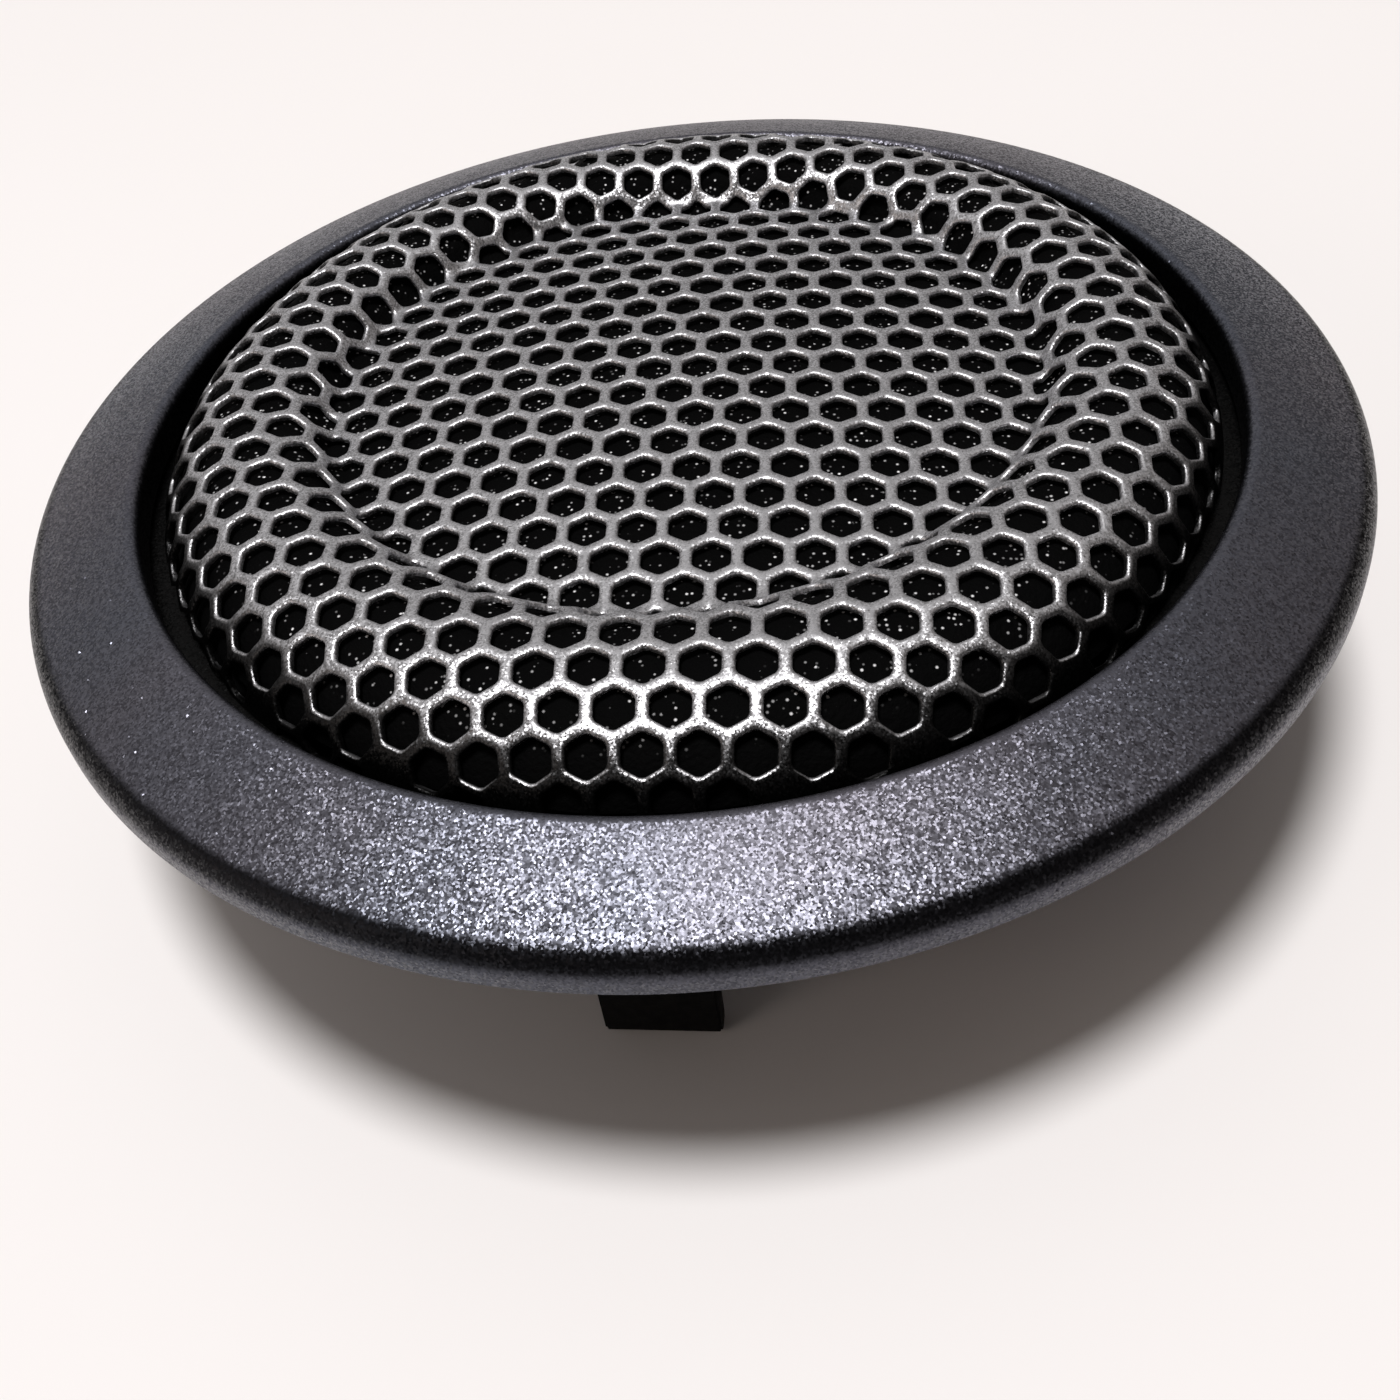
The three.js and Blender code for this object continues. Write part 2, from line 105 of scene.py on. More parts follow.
# Bezel: the roll of its edge, its crown, the lip round the grille and the hollows under it
BEZEL_INNER_R = 23.7
EDGE_ROLL = 1.15
EDGE_ROLL_RISE = 1.2
EDGE_ROLL_Z = 12.62
EDGE_SOFTENING = 0.15
CROWN = [(27.85, 13.88), (27.2, 14.13), (26.3, 14.43), (25.4, 14.7), (24.7, 14.88)]
LIP_R = 0.45
POCKET_R = 24.9
POCKET_TOP = 13.4
GROOVE_INNER_R = 26.4
GROOVE_OUTER_R = 28.2
GROOVE_TOP = 12.8

# Grille: its pressed shape and its sheet. The dish falls by DISH_FALL times the radius squared, a cubic
# curve rises to the crest, and the shoulder beyond it is slimmer where its power is larger.
GRILLE_R = 23.0
GRILLE_WALL_TOP = 13.2
CREST_R = 18.7
DISH_R = 15.5
DISH_SHIFT = 1.4
DISH_TOP = 15.98
DISH_FALL = 0.0038
RISE_OUT = (0, 0.14, 0.1, 1)
RISE_UP = (0, 0, 1, 1)
RISE_STRETCH = 0.92
SHOULDER_NEAR = 1.25
SHOULDER_FAR = 0.68
DISH_STEPS = 40
RISE_STEPS = 60
SHOULDER_STEPS = 80
WALL_STEPS = 6
GRILLE_LINES = 180
SHEET = 0.5
THIN_SHEET = 0.3

# Grille: its holes, in rows and columns on the flat sheet
HOLE_PITCH = 2.0
HOLE_ACROSS = 1.5
LATTICE_TURN = math.radians(2.3)
LATTICE_START = (0.936, 0.669)
LATTICE_ROWS = 15
LATTICE_COLUMNS = 16
PLAIN_EDGE_R = 24.0
SHEET_EDGE_R = GRILLE_R + 1.6
SIDE_PARTS = (0.0, 0.16, 0.5, 0.84)

# The rim of a hole from the top of the sheet to its underside: extra width, corner cut and depth
HOLE_RIM = [
    (0.28, 0.03, 0),
    (0.16, 0.04, 0.016),
    (0.07, 0.05, 0.045),
    (0.02, 0.06, 0.09),
    (0, 0.06, 0.15),
    (0.04, 0.06, THIN_SHEET - 0.03),
    (0.12, 0.05, THIN_SHEET),
]

# Cloth behind the grille
SCRIM_R = 24.2
SCRIM_DEPTH = 0.5
SCRIM_THICK = 0.12
SCRIM_RIPPLE = 0.04
SCRIM_ROWS = 60
SCRIM_AROUND = 180

# Gasket, collar and legs
GASKET_INNER_R = 26.5
COLLAR_STEPS = 180
COLLAR_FLOOR_R = 22.4
COLLAR_BAND_BOTTOM = 9.8
COLLAR_BAND_TOP = 11.2
SLOT_HALF_ANGLE = 7.0
SLOT_CORNER = 0.01
LEGS = {"front": -90, "right": 30, "left": 150}
LEG_ROOT_Z = 11.25
BEND_CUTS = np.arange(8.6, 11.0, 0.3)

# Driver
PLATE_INNER_R = 16.0
PLATE_INNER_TOP = 10.8
POT_WALL_R = 13.5
POT_FLOOR = 3.2
POT_CHAMFER = 0.6
FRAME_INNER_R = 13.8
FRAME_STEP_R = 15.8
FRAME_STEP_Z = 8.8
FRAME_BOTTOM = 8.3
SHELF_NEAR = 16.2
SHELF_FAR = 18.6
SHELF_TOP = 8.6
DOME_R = 12.5
DOME_RISE = 4.1
GLUE_LINE = 9.75
SKIN = 0.3
ROLL_CENTRE_R = 14.5
ROLL_HALF_WIDTH = 1.1
ROLL_RISE = 1.0
ROLL_INNER_R = 13.1
ROLL_BLEND = (13.3, 15.7)
FORMER_THICK = 0.15
COIL_INNER_R = 12.95
COIL_CENTRE_R = 13.12
COIL_WIRE_HALF = 0.08
COIL_TURNS = 14

# Screws, terminals and capacitor
SCREW_CIRCLE_R = 17.9
RECESS_BOTTOM = 7.0
RECESS_TOP = 7.55
RECESS_ARM = 0.85
RECESS_HALF_WIDTH = 0.19
RECESS_TURN = 20
TERMINAL_X = {"positive": 3.2, "negative": -3.2}
BLADE_HALF_WIDTH = 1.4
BLADE_HOLE_Y = 22.8
BLADE_HOLE_R = 0.5
RIVET_Y = 18.2
CAPACITOR_AZIMUTH = -30
CAPACITOR_CIRCLE_R = 18.0
CAPACITOR_Z = 4.9
CAPACITOR_R = 2.2
CAPACITOR_LENGTH = 9.0
PAD_GAP = 0.25
PAD_THICK = 0.7
PAD_OUTLINE = [(16.8, -2.5), (19.2, -2.5), (19.2, 2.5), (16.8, 2.5)]

# Wires: their radii, and the holes that the voice coil's leads go up through
FEED_WIRE_R = 0.45
COIL_WIRE_R = 0.3
WIRE_SIDES = 14
WIRE_HOLE_CIRCLE_R = 16.8
POSITIVE_HOLE_AZIMUTH = -58
NEGATIVE_HOLE_AZIMUTH = 115

# Camera, in millimetres and angles
RIM_Z = 13.3
CAMERA_LENS = 40
CAMERA_SENSOR = 36
CAMERA_DISTANCE = 70.3
CAMERA_AZIMUTH = math.radians(9.8)
CAMERA_ELEVATION = math.radians(35.6)
CAMERA_YAW = math.radians(0.7)
CAMERA_PITCH = math.radians(-10.0)
CAMERA_ROLL = math.radians(7.5)

# Lamps: place and size in metres, power in watts, and colour
CEILING_LAMP = ((-0.07, -0.055, 1.0), 0.26, 8.7, (1.0, 0.985, 0.975))
SIDE_LAMP = ((-0.75, -0.6, 0.45), 0.5, 0.9, (1.0, 0.86, 0.76))

# The room's colour from its darkest side to its lightest, and where the lightest side is
ROOM_LIGHT_SIDE = (-0.45, 0.8, 0.4)
ROOM_SHADES = [
    (0.0, (0.035, 0.03, 0.026)),
    (0.3, (0.09, 0.078, 0.07)),
    (0.55, (0.155, 0.135, 0.123)),
    (1.0, (0.41, 0.396, 0.39)),
]
TABLE_HALF = 1.5

# Painted shade and painted light, as brightness at distances from the axis: the bezel's paint, the paint
# on the grille's wall and on the ledges of its holes, and the painted glints of the cloth
# Bezel: painted shade near black in the pocket under the lip, full paint on the crown, a painted dark
# band on the rolled outer edge, paler again at its very edge
BEZEL_PAINTED_SHADE = [(23.74, 0.03), (23.86, 1.0), (28.15, 1.0), (28.4, 0.12), (28.9, 0.12), (28.98, 0.6)]
# Grille wall: painted shade, darker the further down the wall
WALL_PAINTED_SHADE = [(20.4, 1.0), (20.8, 0.5), (21.3, 0.16), (22.1, 0.05), (22.6, 0.01)]
# Upward-facing ledges of the holes: kept light as painted light, then painted near black on the hem as
# painted shade
PAINTED_LEDGE_LIGHT_AND_HEM_SHADE = [(21.1, 1.0), (22.6, 0.9), (22.7, 0.01)]
# Cloth: its painted glints, faded out by painted shade towards the grille's wall
CLOTH_GLINT_PAINTED_SHADE = [(20.4, 1.0), (21.2, 0.0)]


# ---------------------------------------------------------------- camera, lights and floor

def place_camera():
    """Close camera above the near edge, aimed a little below the rim and tilted sideways."""
    data = bpy.data.cameras.new("camera")
    data.lens = CAMERA_LENS
    data.sensor_width = CAMERA_SENSOR
    data.clip_start = 0.005
    camera = bpy.data.objects.new("camera", data)
    bpy.context.collection.objects.link(camera)
    away = Vector((
        math.sin(CAMERA_AZIMUTH) * math.cos(CAMERA_ELEVATION),
        -math.cos(CAMERA_AZIMUTH) * math.cos(CAMERA_ELEVATION),
        math.sin(CAMERA_ELEVATION),
    ))
    forward = -away
    right = forward.cross(Vector((0, 0, 1))).normalized()
    up = right.cross(forward)
    yaw = Matrix.Rotation(CAMERA_YAW, 3, up)
    forward = yaw @ forward
    right = yaw @ right
    pitch = Matrix.Rotation(CAMERA_PITCH, 3, right)
    forward = pitch @ forward
    up = pitch @ up
    roll = Matrix.Rotation(CAMERA_ROLL, 3, forward)
    right = roll @ right
    up = roll @ up
    turn = Matrix((right, up, -forward)).transposed().to_4x4()
    place = (away * CAMERA_DISTANCE + Vector((0, 0, RIM_Z))) * MM
    camera.matrix_world = Matrix.Translation(place) @ turn
    bpy.context.scene.camera = camera


def area_light(name, place, size, power, color):
    """A round lamp aimed at the object."""
    data = bpy.data.lights.new(name, "AREA")
    data.shape = "DISK"
    data.size = size
    data.energy = power
    data.color = color
    lamp = bpy.data.objects.new(name, data)
    bpy.context.collection.objects.link(lamp)
    lamp.location = place
    lamp.rotation_euler = (-Vector(place)).to_track_quat("-Z", "Y").to_euler()


def light_scene():
    """A soft lamp almost overhead and a weak one at the side, in a dim room."""
    area_light("ceiling_lamp", *CEILING_LAMP)
    area_light("side_lamp", *SIDE_LAMP)
    world = bpy.data.worlds.new("room")
    bpy.context.scene.world = world
    world.use_nodes = True
    nodes = world.node_tree.nodes
    links = world.node_tree.links
    coordinates = nodes.new("ShaderNodeTexCoord")
    lean = nodes.new("ShaderNodeVectorMath")
    lean.operation = "DOT_PRODUCT"
    lean.inputs[1].default_value = Vector(ROOM_LIGHT_SIDE).normalized()
    links.new(coordinates.outputs["Generated"], lean.inputs[0])
    share = nodes.new("ShaderNodeMapRange")
    share.inputs["From Min"].default_value = -1
    links.new(lean.outputs["Value"], share.inputs["Value"])
    shade = ramp(nodes, links, share.outputs[0], ROOM_SHADES)
    links.new(shade, nodes["Background"].inputs["Color"])
    bpy.context.scene.view_settings.view_transform = "Standard"


def make_floor():
    """A pale matt table top."""
    material, nodes, links, shader = new_material("table")
    clouds = texture(nodes, links, "ShaderNodeTexNoise", 9, Detail=3.0)
    tone = ramp(nodes, links, clouds.outputs[0], [(0.3, (0.885, 0.86, 0.855)), (0.7, (0.9, 0.878, 0.88))])
    links.new(tone, shader.inputs["Base Color"])
    shader.inputs["Roughness"].default_value = 0.7
    shader.inputs["Specular IOR Level"].default_value = 0.2
    mesh = bpy.data.meshes.new("table")
    corners = [(x * TABLE_HALF, y * TABLE_HALF, 0) for x, y in ((-1, -1), (1, -1), (1, 1), (-1, 1))]
    mesh.from_pydata(corners, [], [(0, 1, 2, 3)])
    mesh.materials.append(material)
    table = bpy.data.objects.new("table", mesh)
    bpy.context.collection.objects.link(table)


# ---------------------------------------------------------------- material helpers

def new_material(name):
    """A node material and its tree, links and shader."""
    material = bpy.data.materials.new(name)
    material.use_nodes = True
    nodes = material.node_tree.nodes
    return material, nodes, material.node_tree.links, nodes["Principled BSDF"]


def texture(nodes, links, kind, scale, **values):
    """A procedural texture in object coordinates. Scale is in features per metre."""
    coordinates = nodes.new("ShaderNodeTexCoord")
    node = nodes.new(kind)
    links.new(coordinates.outputs["Object"], node.inputs["Vector"])
    node.inputs["Scale"].default_value = scale
    for key, value in values.items():
        node.inputs[key].default_value = value
    return node


def ramp(nodes, links, source, stops):
    """Colour ramp over a value, stops given as (position, colour or grey)."""
    node = nodes.new("ShaderNodeValToRGB")
    links.new(source, node.inputs[0])
    elements = node.color_ramp.elements
    while len(elements) < len(stops):
        elements.new(0.5)
    for element, (position, value) in zip(elements, stops):
        element.position = position
        grey = (value, value, value) if isinstance(value, (int, float)) else value
        element.color = (*grey, 1)
    return node.outputs[0]


# The sockets that a Mix node uses for colours, which share their names with its other sockets
MIX_FIRST = 6
MIX_SECOND = 7
MIX_RESULT = 2


def mix_colors(nodes, links, first, second, blend="MIX"):
    """A Mix node between two colours."""
    mix = nodes.new("ShaderNodeMix")
    mix.data_type = "RGBA"
    mix.blend_type = blend
    links.new(first, mix.inputs[MIX_FIRST])
    links.new(second, mix.inputs[MIX_SECOND])
    return mix


def multiply(nodes, links, first, second):
    """Two colours multiplied."""
    mix = mix_colors(nodes, links, first, second, "MULTIPLY")
    mix.inputs["Factor"].default_value = 1.0
    return mix.outputs[MIX_RESULT]


def bump(nodes, links, height, distance):
    """Bump from a height, distance in millimetres."""
    node = nodes.new("ShaderNodeBump")
    node.inputs["Distance"].default_value = distance * MM
    node.inputs["Strength"].default_value = 1.0
    links.new(height, node.inputs["Height"])
    return node.outputs[0]


def surface(name, dark, light, rough, grain, depth, metallic=0.0, specular=0.5):
    """General finish: two close tones in soft patches, uneven roughness and a fine grain."""
    material, nodes, links, shader = new_material(name)
    clouds = texture(nodes, links, "ShaderNodeTexNoise", 300, Detail=4.0)
    fine = texture(nodes, links, "ShaderNodeTexNoise", grain, Detail=3.0)
    tone = ramp(nodes, links, clouds.outputs[0], [(0.35, dark), (0.65, light)])
    links.new(tone, shader.inputs["Base Color"])
    roughness = ramp(nodes, links, fine.outputs[0], [(0.3, rough - 0.06), (0.7, rough + 0.06)])
    links.new(roughness, shader.inputs["Roughness"])
    links.new(bump(nodes, links, fine.outputs[0], depth), shader.inputs["Normal"])
    shader.inputs["Metallic"].default_value = metallic
    shader.inputs["Specular IOR Level"].default_value = specular
    return material


def vector_math(nodes, links, operation, *inputs):
    """A vector operation on sockets or constant triples."""
    node = nodes.new("ShaderNodeVectorMath")
    node.operation = operation
    for socket, value in zip(node.inputs, inputs):
        if isinstance(value, tuple):
            socket.default_value = value
        else:
            links.new(value, socket)
    return node.outputs["Value"] if operation == "LENGTH" else node.outputs["Vector"]


def flakes(nodes, links, size, tilt, stray):
    """A normal that leans a different way on each tiny flake, flake size in millimetres.
    A few stray flakes lean further."""
    cells = texture(nodes, links, "ShaderNodeTexVoronoi", 1 / (size * MM))
    centred = vector_math(nodes, links, "SUBTRACT", cells.outputs["Color"], (0.5, 0.5, 0.5))
    picked = [(0.491, 0.0), (0.494, 1.0), (0.497, 1.0), (0.5, 0.0)]
    few = ramp(nodes, links, cells.outputs["Color"], picked)
    reach = vector_math(nodes, links, "MULTIPLY_ADD", few, (stray, stray, stray), (tilt, tilt, tilt))
    lean = vector_math(nodes, links, "MULTIPLY", centred, reach)
    geometry = nodes.new("ShaderNodeNewGeometry")
    leaned = vector_math(nodes, links, "ADD", geometry.outputs["Normal"], lean)
    return vector_math(nodes, links, "NORMALIZE", leaned), cells.outputs["Color"]


def by_radius(nodes, links, stops):
    """A grey that changes with the distance from the axis, stops given as (millimetres, grey)."""
    coordinates = nodes.new("ShaderNodeTexCoord")
    flat = vector_math(nodes, links, "MULTIPLY", coordinates.outputs["Object"], (1, 1, 0))
    share = nodes.new("ShaderNodeMapRange")
    share.inputs["From Max"].default_value = FLANGE_R * MM
    links.new(vector_math(nodes, links, "LENGTH", flat), share.inputs["Value"])
    return ramp(nodes, links, share.outputs[0], [(r / FLANGE_R, grey) for r, grey in stops])


def bezel_paint():
    """Charcoal pearl paint: tiny flakes that glint one by one where the lamp is mirrored, with painted
    shade in the pocket under the lip and a painted dark band on the rolled outer edge.
    """
    material, nodes, links, shader = new_material("bezel_paint")
    normal, cells = flakes(nodes, links, size=0.08, tilt=0.36, stray=0.8)
    links.new(normal, shader.inputs["Normal"])
    flecks = ramp(nodes, links, cells, [(0.25, (0.087, 0.09, 0.105)), (0.75, (0.165, 0.17, 0.196))])
    clouds = texture(nodes, links, "ShaderNodeTexNoise", 60, Detail=3.0)
    tint = ramp(nodes, links, clouds.outputs[0], [(0.35, (0.9, 0.94, 1.0)), (0.65, (1.0, 0.94, 0.96))])
    # Painted shade in the pocket and painted dark band on the rolled edge, multiplied into the paint
    depth = by_radius(nodes, links, BEZEL_PAINTED_SHADE)
    color = multiply(nodes, links, multiply(nodes, links, flecks, tint), depth)
    links.new(color, shader.inputs["Base Color"])
    rough = ramp(nodes, links, clouds.outputs[0], [(0.3, 0.33), (0.7, 0.38)])
    links.new(rough, shader.inputs["Roughness"])
    shader.inputs["Metallic"].default_value = 0.95
    return material


def grille_paint():
    """Grey metallic paint on the perforated sheet, darker down the wall as painted shade, while the
    holes' upward-facing ledges stay light as painted light until the hem, which is painted near black as
    painted shade.
    """
    material, nodes, links, shader = new_material("grille_paint")
    normal, cells = flakes(nodes, links, size=0.07, tilt=0.34, stray=0.6)
    links.new(normal, shader.inputs["Normal"])
    flecks = ramp(nodes, links, cells, [(0.2, (0.27, 0.27, 0.28)), (0.8, (0.68, 0.68, 0.71))])
    # Painted shade down the wall, painted light kept on faces that face up, both near black on the hem
    wall = by_radius(nodes, links, WALL_PAINTED_SHADE)
    ledge = by_radius(nodes, links, PAINTED_LEDGE_LIGHT_AND_HEM_SHADE)
    geometry = nodes.new("ShaderNodeNewGeometry")
    split = nodes.new("ShaderNodeSeparateXYZ")
    links.new(geometry.outputs["Normal"], split.inputs[0])
    faces_up = ramp(nodes, links, split.outputs["Z"], [(0.78, 0.0), (0.92, 1.0)])
    shade = mix_colors(nodes, links, wall, ledge)
    links.new(faces_up, shade.inputs["Factor"])
    color = multiply(nodes, links, flecks, shade.outputs[MIX_RESULT])
    links.new(color, shader.inputs["Base Color"])
    shader.inputs["Roughness"].default_value = 0.4
    shader.inputs["Metallic"].default_value = 0.9
    return material


def scrim_cloth():
    """Black open cloth with scattered pale painted glints, faded out by painted shade near the wall."""
    material, nodes, links, shader = new_material("scrim_cloth")
    cells = texture(nodes, links, "ShaderNodeTexVoronoi", 4600)
    # Pale spots in the cloth's colour are painted glints of its fibres
    near = ramp(nodes, links, cells.outputs["Distance"], [(0.1, 1.0), (0.34, 0.0)])
    chosen = ramp(nodes, links, cells.outputs["Color"], [(0.62, 0.0), (0.86, 1.0)])
    # Painted shade: no glints near the wall
    depth = by_radius(nodes, links, CLOTH_GLINT_PAINTED_SHADE)
    painted_glints = multiply(nodes, links, multiply(nodes, links, near, chosen), depth)
    color = ramp(nodes, links, painted_glints, [(0.0, (0.0006, 0.0006, 0.0007)), (1.0, (0.95, 0.95, 0.97))])
    links.new(color, shader.inputs["Base Color"])
    weave = texture(nodes, links, "ShaderNodeTexNoise", 5000, Detail=3.0)
    links.new(bump(nodes, links, weave.outputs[0], 0.08), shader.inputs["Normal"])
    shader.inputs["Roughness"].default_value = 0.8
    shader.inputs["Specular IOR Level"].default_value = 0.05
    return material


def brushed_metal(name, color, rough, streaks_per_metre):
    """Turned or plated metal with fine upright streaks."""
    material, nodes, links, shader = new_material(name)
    coordinates = nodes.new("ShaderNodeTexCoord")
    stretch = nodes.new("ShaderNodeMapping")
    stretch.inputs["Scale"].default_value = (1, 1, 0.15)
    links.new(coordinates.outputs["Object"], stretch.inputs["Vector"])
    streaks = nodes.new("ShaderNodeTexNoise")
    streaks.inputs["Scale"].default_value = streaks_per_metre
    streaks.inputs["Detail"].default_value = 5
    links.new(stretch.outputs[0], streaks.inputs["Vector"])
    clouds = texture(nodes, links, "ShaderNodeTexNoise", 120, Detail=4.0)
    darker = tuple(0.78 * value for value in color)
    tone = ramp(nodes, links, clouds.outputs[0], [(0.35, darker), (0.65, color)])
    links.new(tone, shader.inputs["Base Color"])
    roughness = ramp(nodes, links, streaks.outputs[0], [(0.3, rough - 0.03), (0.7, rough + 0.04)])
    links.new(roughness, shader.inputs["Roughness"])
    links.new(bump(nodes, links, streaks.outputs[0], 0.003), shader.inputs["Normal"])
    shader.inputs["Metallic"].default_value = 1.0
    return material


# Finishes in two close tones: dark tone, light tone, roughness, grains per metre, grain depth
FINISHES = {
    "frame_plastic": ((0.012, 0.012, 0.014), (0.02, 0.02, 0.023), 0.5, 3000, 0.02),
    "foam": ((0.008, 0.008, 0.008), (0.016, 0.016, 0.016), 0.9, 2600, 0.15),
    "dome_silk": ((0.02, 0.017, 0.016), (0.035, 0.03, 0.028), 0.5, 6000, 0.02),
    "felt": ((0.26, 0.245, 0.225), (0.38, 0.36, 0.33), 0.92, 3500, 0.2),
    "former_film": ((0.36, 0.16, 0.03), (0.46, 0.22, 0.05), 0.3, 1500, 0.005),
    "phenolic_board": ((0.11, 0.045, 0.018), (0.19, 0.085, 0.035), 0.45, 2200, 0.02),
    "capacitor_sleeve": ((0.012, 0.022, 0.085), (0.02, 0.035, 0.12), 0.26, 1200, 0.01),
    "red_insulation": ((0.3, 0.01, 0.008), (0.42, 0.02, 0.012), 0.38, 2500, 0.008),
    "black_insulation": ((0.007, 0.007, 0.007), (0.013, 0.013, 0.013), 0.38, 2500, 0.008),
}

# Bare metals: colour, roughness and streaks per metre
METALS = {
    "zinc_steel": ((0.52, 0.53, 0.55), 0.3, 2200),
    "magnet_plating": ((0.62, 0.61, 0.58), 0.16, 1500),
    "tinned_brass": ((0.66, 0.64, 0.58), 0.26, 2600),
}


def black_plastic():
    """Very dark plastic with little shine."""
    dark = (0.0006, 0.0006, 0.0008)
    light = (0.0014, 0.0014, 0.0016)
    return surface("black_plastic", dark, light, 0.5, 2500, 0.012, specular=0.06)


def copper_wire():
    """Enamelled copper."""
    return surface("copper_wire", (0.45, 0.16, 0.07), (0.6, 0.26, 0.12), 0.28, 3000, 0.01, metallic=1.0)


MATERIALS = {
    "bezel_paint": bezel_paint(),
    "grille_paint": grille_paint(),
    "scrim_cloth": scrim_cloth(),
    "black_plastic": black_plastic(),
    "copper_wire": copper_wire(),
}
MATERIALS.update({name: surface(name, *values) for name, values in FINISHES.items()})
MATERIALS.update({name: brushed_metal(name, *values) for name, values in METALS.items()})


# ---------------------------------------------------------------- mesh helpers

# Points closer than this, in millimetres, are made one point
WELD = 0.001

# Edges sharper than these are bevelled or shaded as corners
BEVELLED_ANGLE = math.radians(30)
SMOOTH_ANGLE = math.radians(38)


def add_mesh(name, points, faces, slot, replaces=(), body=HOUSING, bevel=0.0):
    """A piece from points in millimetres. It takes the slot's material and rides on the body."""
    mesh = bpy.data.meshes.new(name)
    mesh.from_pydata([tuple(float(value) for value in point) for point in points], [], faces)
    work = bmesh.new()
    work.from_mesh(mesh)
    bmesh.ops.remove_doubles(work, verts=work.verts, dist=WELD)
    bmesh.ops.recalc_face_normals(work, faces=work.faces)
    if bevel:
        sharp = [edge for edge in work.edges if edge.calc_face_angle(0) > BEVELLED_ANGLE]
        bmesh.ops.bevel(work, geom=sharp, offset=bevel, segments=3, affect="EDGES", clamp_overlap=True)
    bmesh.ops.scale(work, vec=(MM, MM, MM), verts=work.verts)
    for face in work.faces:
        face.smooth = True
    work.to_mesh(mesh)
    work.free()
    mesh.set_sharp_from_angle(angle=SMOOTH_ANGLE)
    mesh.materials.append(MATERIALS[slot])
    piece = bpy.data.objects.new(name, mesh)
    bpy.context.collection.objects.link(piece)
    if replaces:
        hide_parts(*replaces)
    if body:
        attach(piece, body)
    return piece


def round_corner(before, corner, after, radius):
    """Points of one rounded corner, held by a point either side of the curve."""
    corner = np.array(corner, float)
    back = np.array(before, float) - corner
    ahead = np.array(after, float) - corner
    back_length = np.hypot(*back)
    ahead_length = np.hypot(*ahead)
    reach = min(radius, 0.4 * back_length, 0.4 * ahead_length)
    start = corner + back / back_length * reach
    end = corner + ahead / ahead_length * reach
    points = [corner + back / back_length * reach * 1.2]
    for t in (0, 0.25, 0.5, 0.75, 1):
        points.append((1 - t) ** 2 * start + 2 * t * (1 - t) * corner + t ** 2 * end)
    points.append(corner + ahead / ahead_length * reach * 1.2)
    return points


def rounded(profile, radius):
    """A closed profile with its corners rounded."""
    points = []
    for i, corner in enumerate(profile):
        points += round_corner(profile[i - 1], corner, profile[(i + 1) % len(profile)], radius)
    return points


def rounded_solid(profile, radius):
    """A profile that starts and ends on the axis, with its other corners rounded."""
    points = [profile[0]]
    for before, corner, after in zip(profile, profile[1:], profile[2:]):
        points += round_corner(before, corner, after, radius)
    return points + [profile[-1]]


def ring_faces(rings, count, closed=True):
    """Faces between each ring of points and the next, for rings of count points."""
    faces = []
    for ring in range(rings if closed else rings - 1):
        here = ring * count
        there = (ring + 1) % rings * count
        for i in range(count):
            after = (i + 1) % count
            faces.append((here + i, there + i, there + after, here + after))
    return faces


def lathe(profile, steps=160):
    """Points and faces of a closed profile of radius and height turned about Z."""
    points = []
    for i in range(steps):
        angle = 2 * math.pi * i / steps
        for r, z in profile:
            points.append((r * math.cos(angle), r * math.sin(angle), z))
    return points, ring_faces(steps, len(profile))


def arc(centre_r, centre_z, radius_r, radius_z, start, end, steps):
    """Points on part of an ellipse in the profile plane, angles in degrees."""
    angles = [math.radians(start + (end - start) * i / steps) for i in range(steps + 1)]
    return [(centre_r + radius_r * math.cos(a), centre_z + radius_z * math.sin(a)) for a in angles]


# ---------------------------------------------------------------- bezel

def make_bezel():
    """The crowned ring with its rounded edge, the pocket under it and the gasket groove."""
    profile = [(FLANGE_R - EDGE_SOFTENING, FLANGE_BOTTOM), (FLANGE_R, FLANGE_BOTTOM + EDGE_SOFTENING)]
    profile += arc(FLANGE_R - EDGE_ROLL, EDGE_ROLL_Z, EDGE_ROLL, EDGE_ROLL_RISE, 0, 66, 12)
    profile += CROWN
    profile += arc(BEZEL_INNER_R + LIP_R, BEZEL_TOP - LIP_R, LIP_R, LIP_R, 75, 180, 8)
    profile += [(BEZEL_INNER_R, POCKET_TOP), (POCKET_R, POCKET_TOP), (POCKET_R, FLANGE_BOTTOM)]
    profile += [(GROOVE_INNER_R, FLANGE_BOTTOM), (GROOVE_INNER_R, GROOVE_TOP)]
    profile += [(GROOVE_OUTER_R, GROOVE_TOP), (GROOVE_OUTER_R, FLANGE_BOTTOM)]
    points, faces = lathe(profile, 256)
    add_mesh("bezel", points, faces, "bezel_paint", ["bezel_ring"])


# ---------------------------------------------------------------- grille and scrim

def off_centre_radius(radius, shift, azimuth):
    """Distance from the axis to a circle centred off the axis along +Y."""
    return shift * np.sin(azimuth) + np.sqrt(radius ** 2 - (shift * np.cos(azimuth)) ** 2)


def cubic(t, a, b, c, d):
    """A cubic curve through a and d, led by b and c."""
    return (1 - t) ** 3 * a + 3 * (1 - t) ** 2 * t * b + 3 * (1 - t) * t ** 2 * c + t ** 3 * d


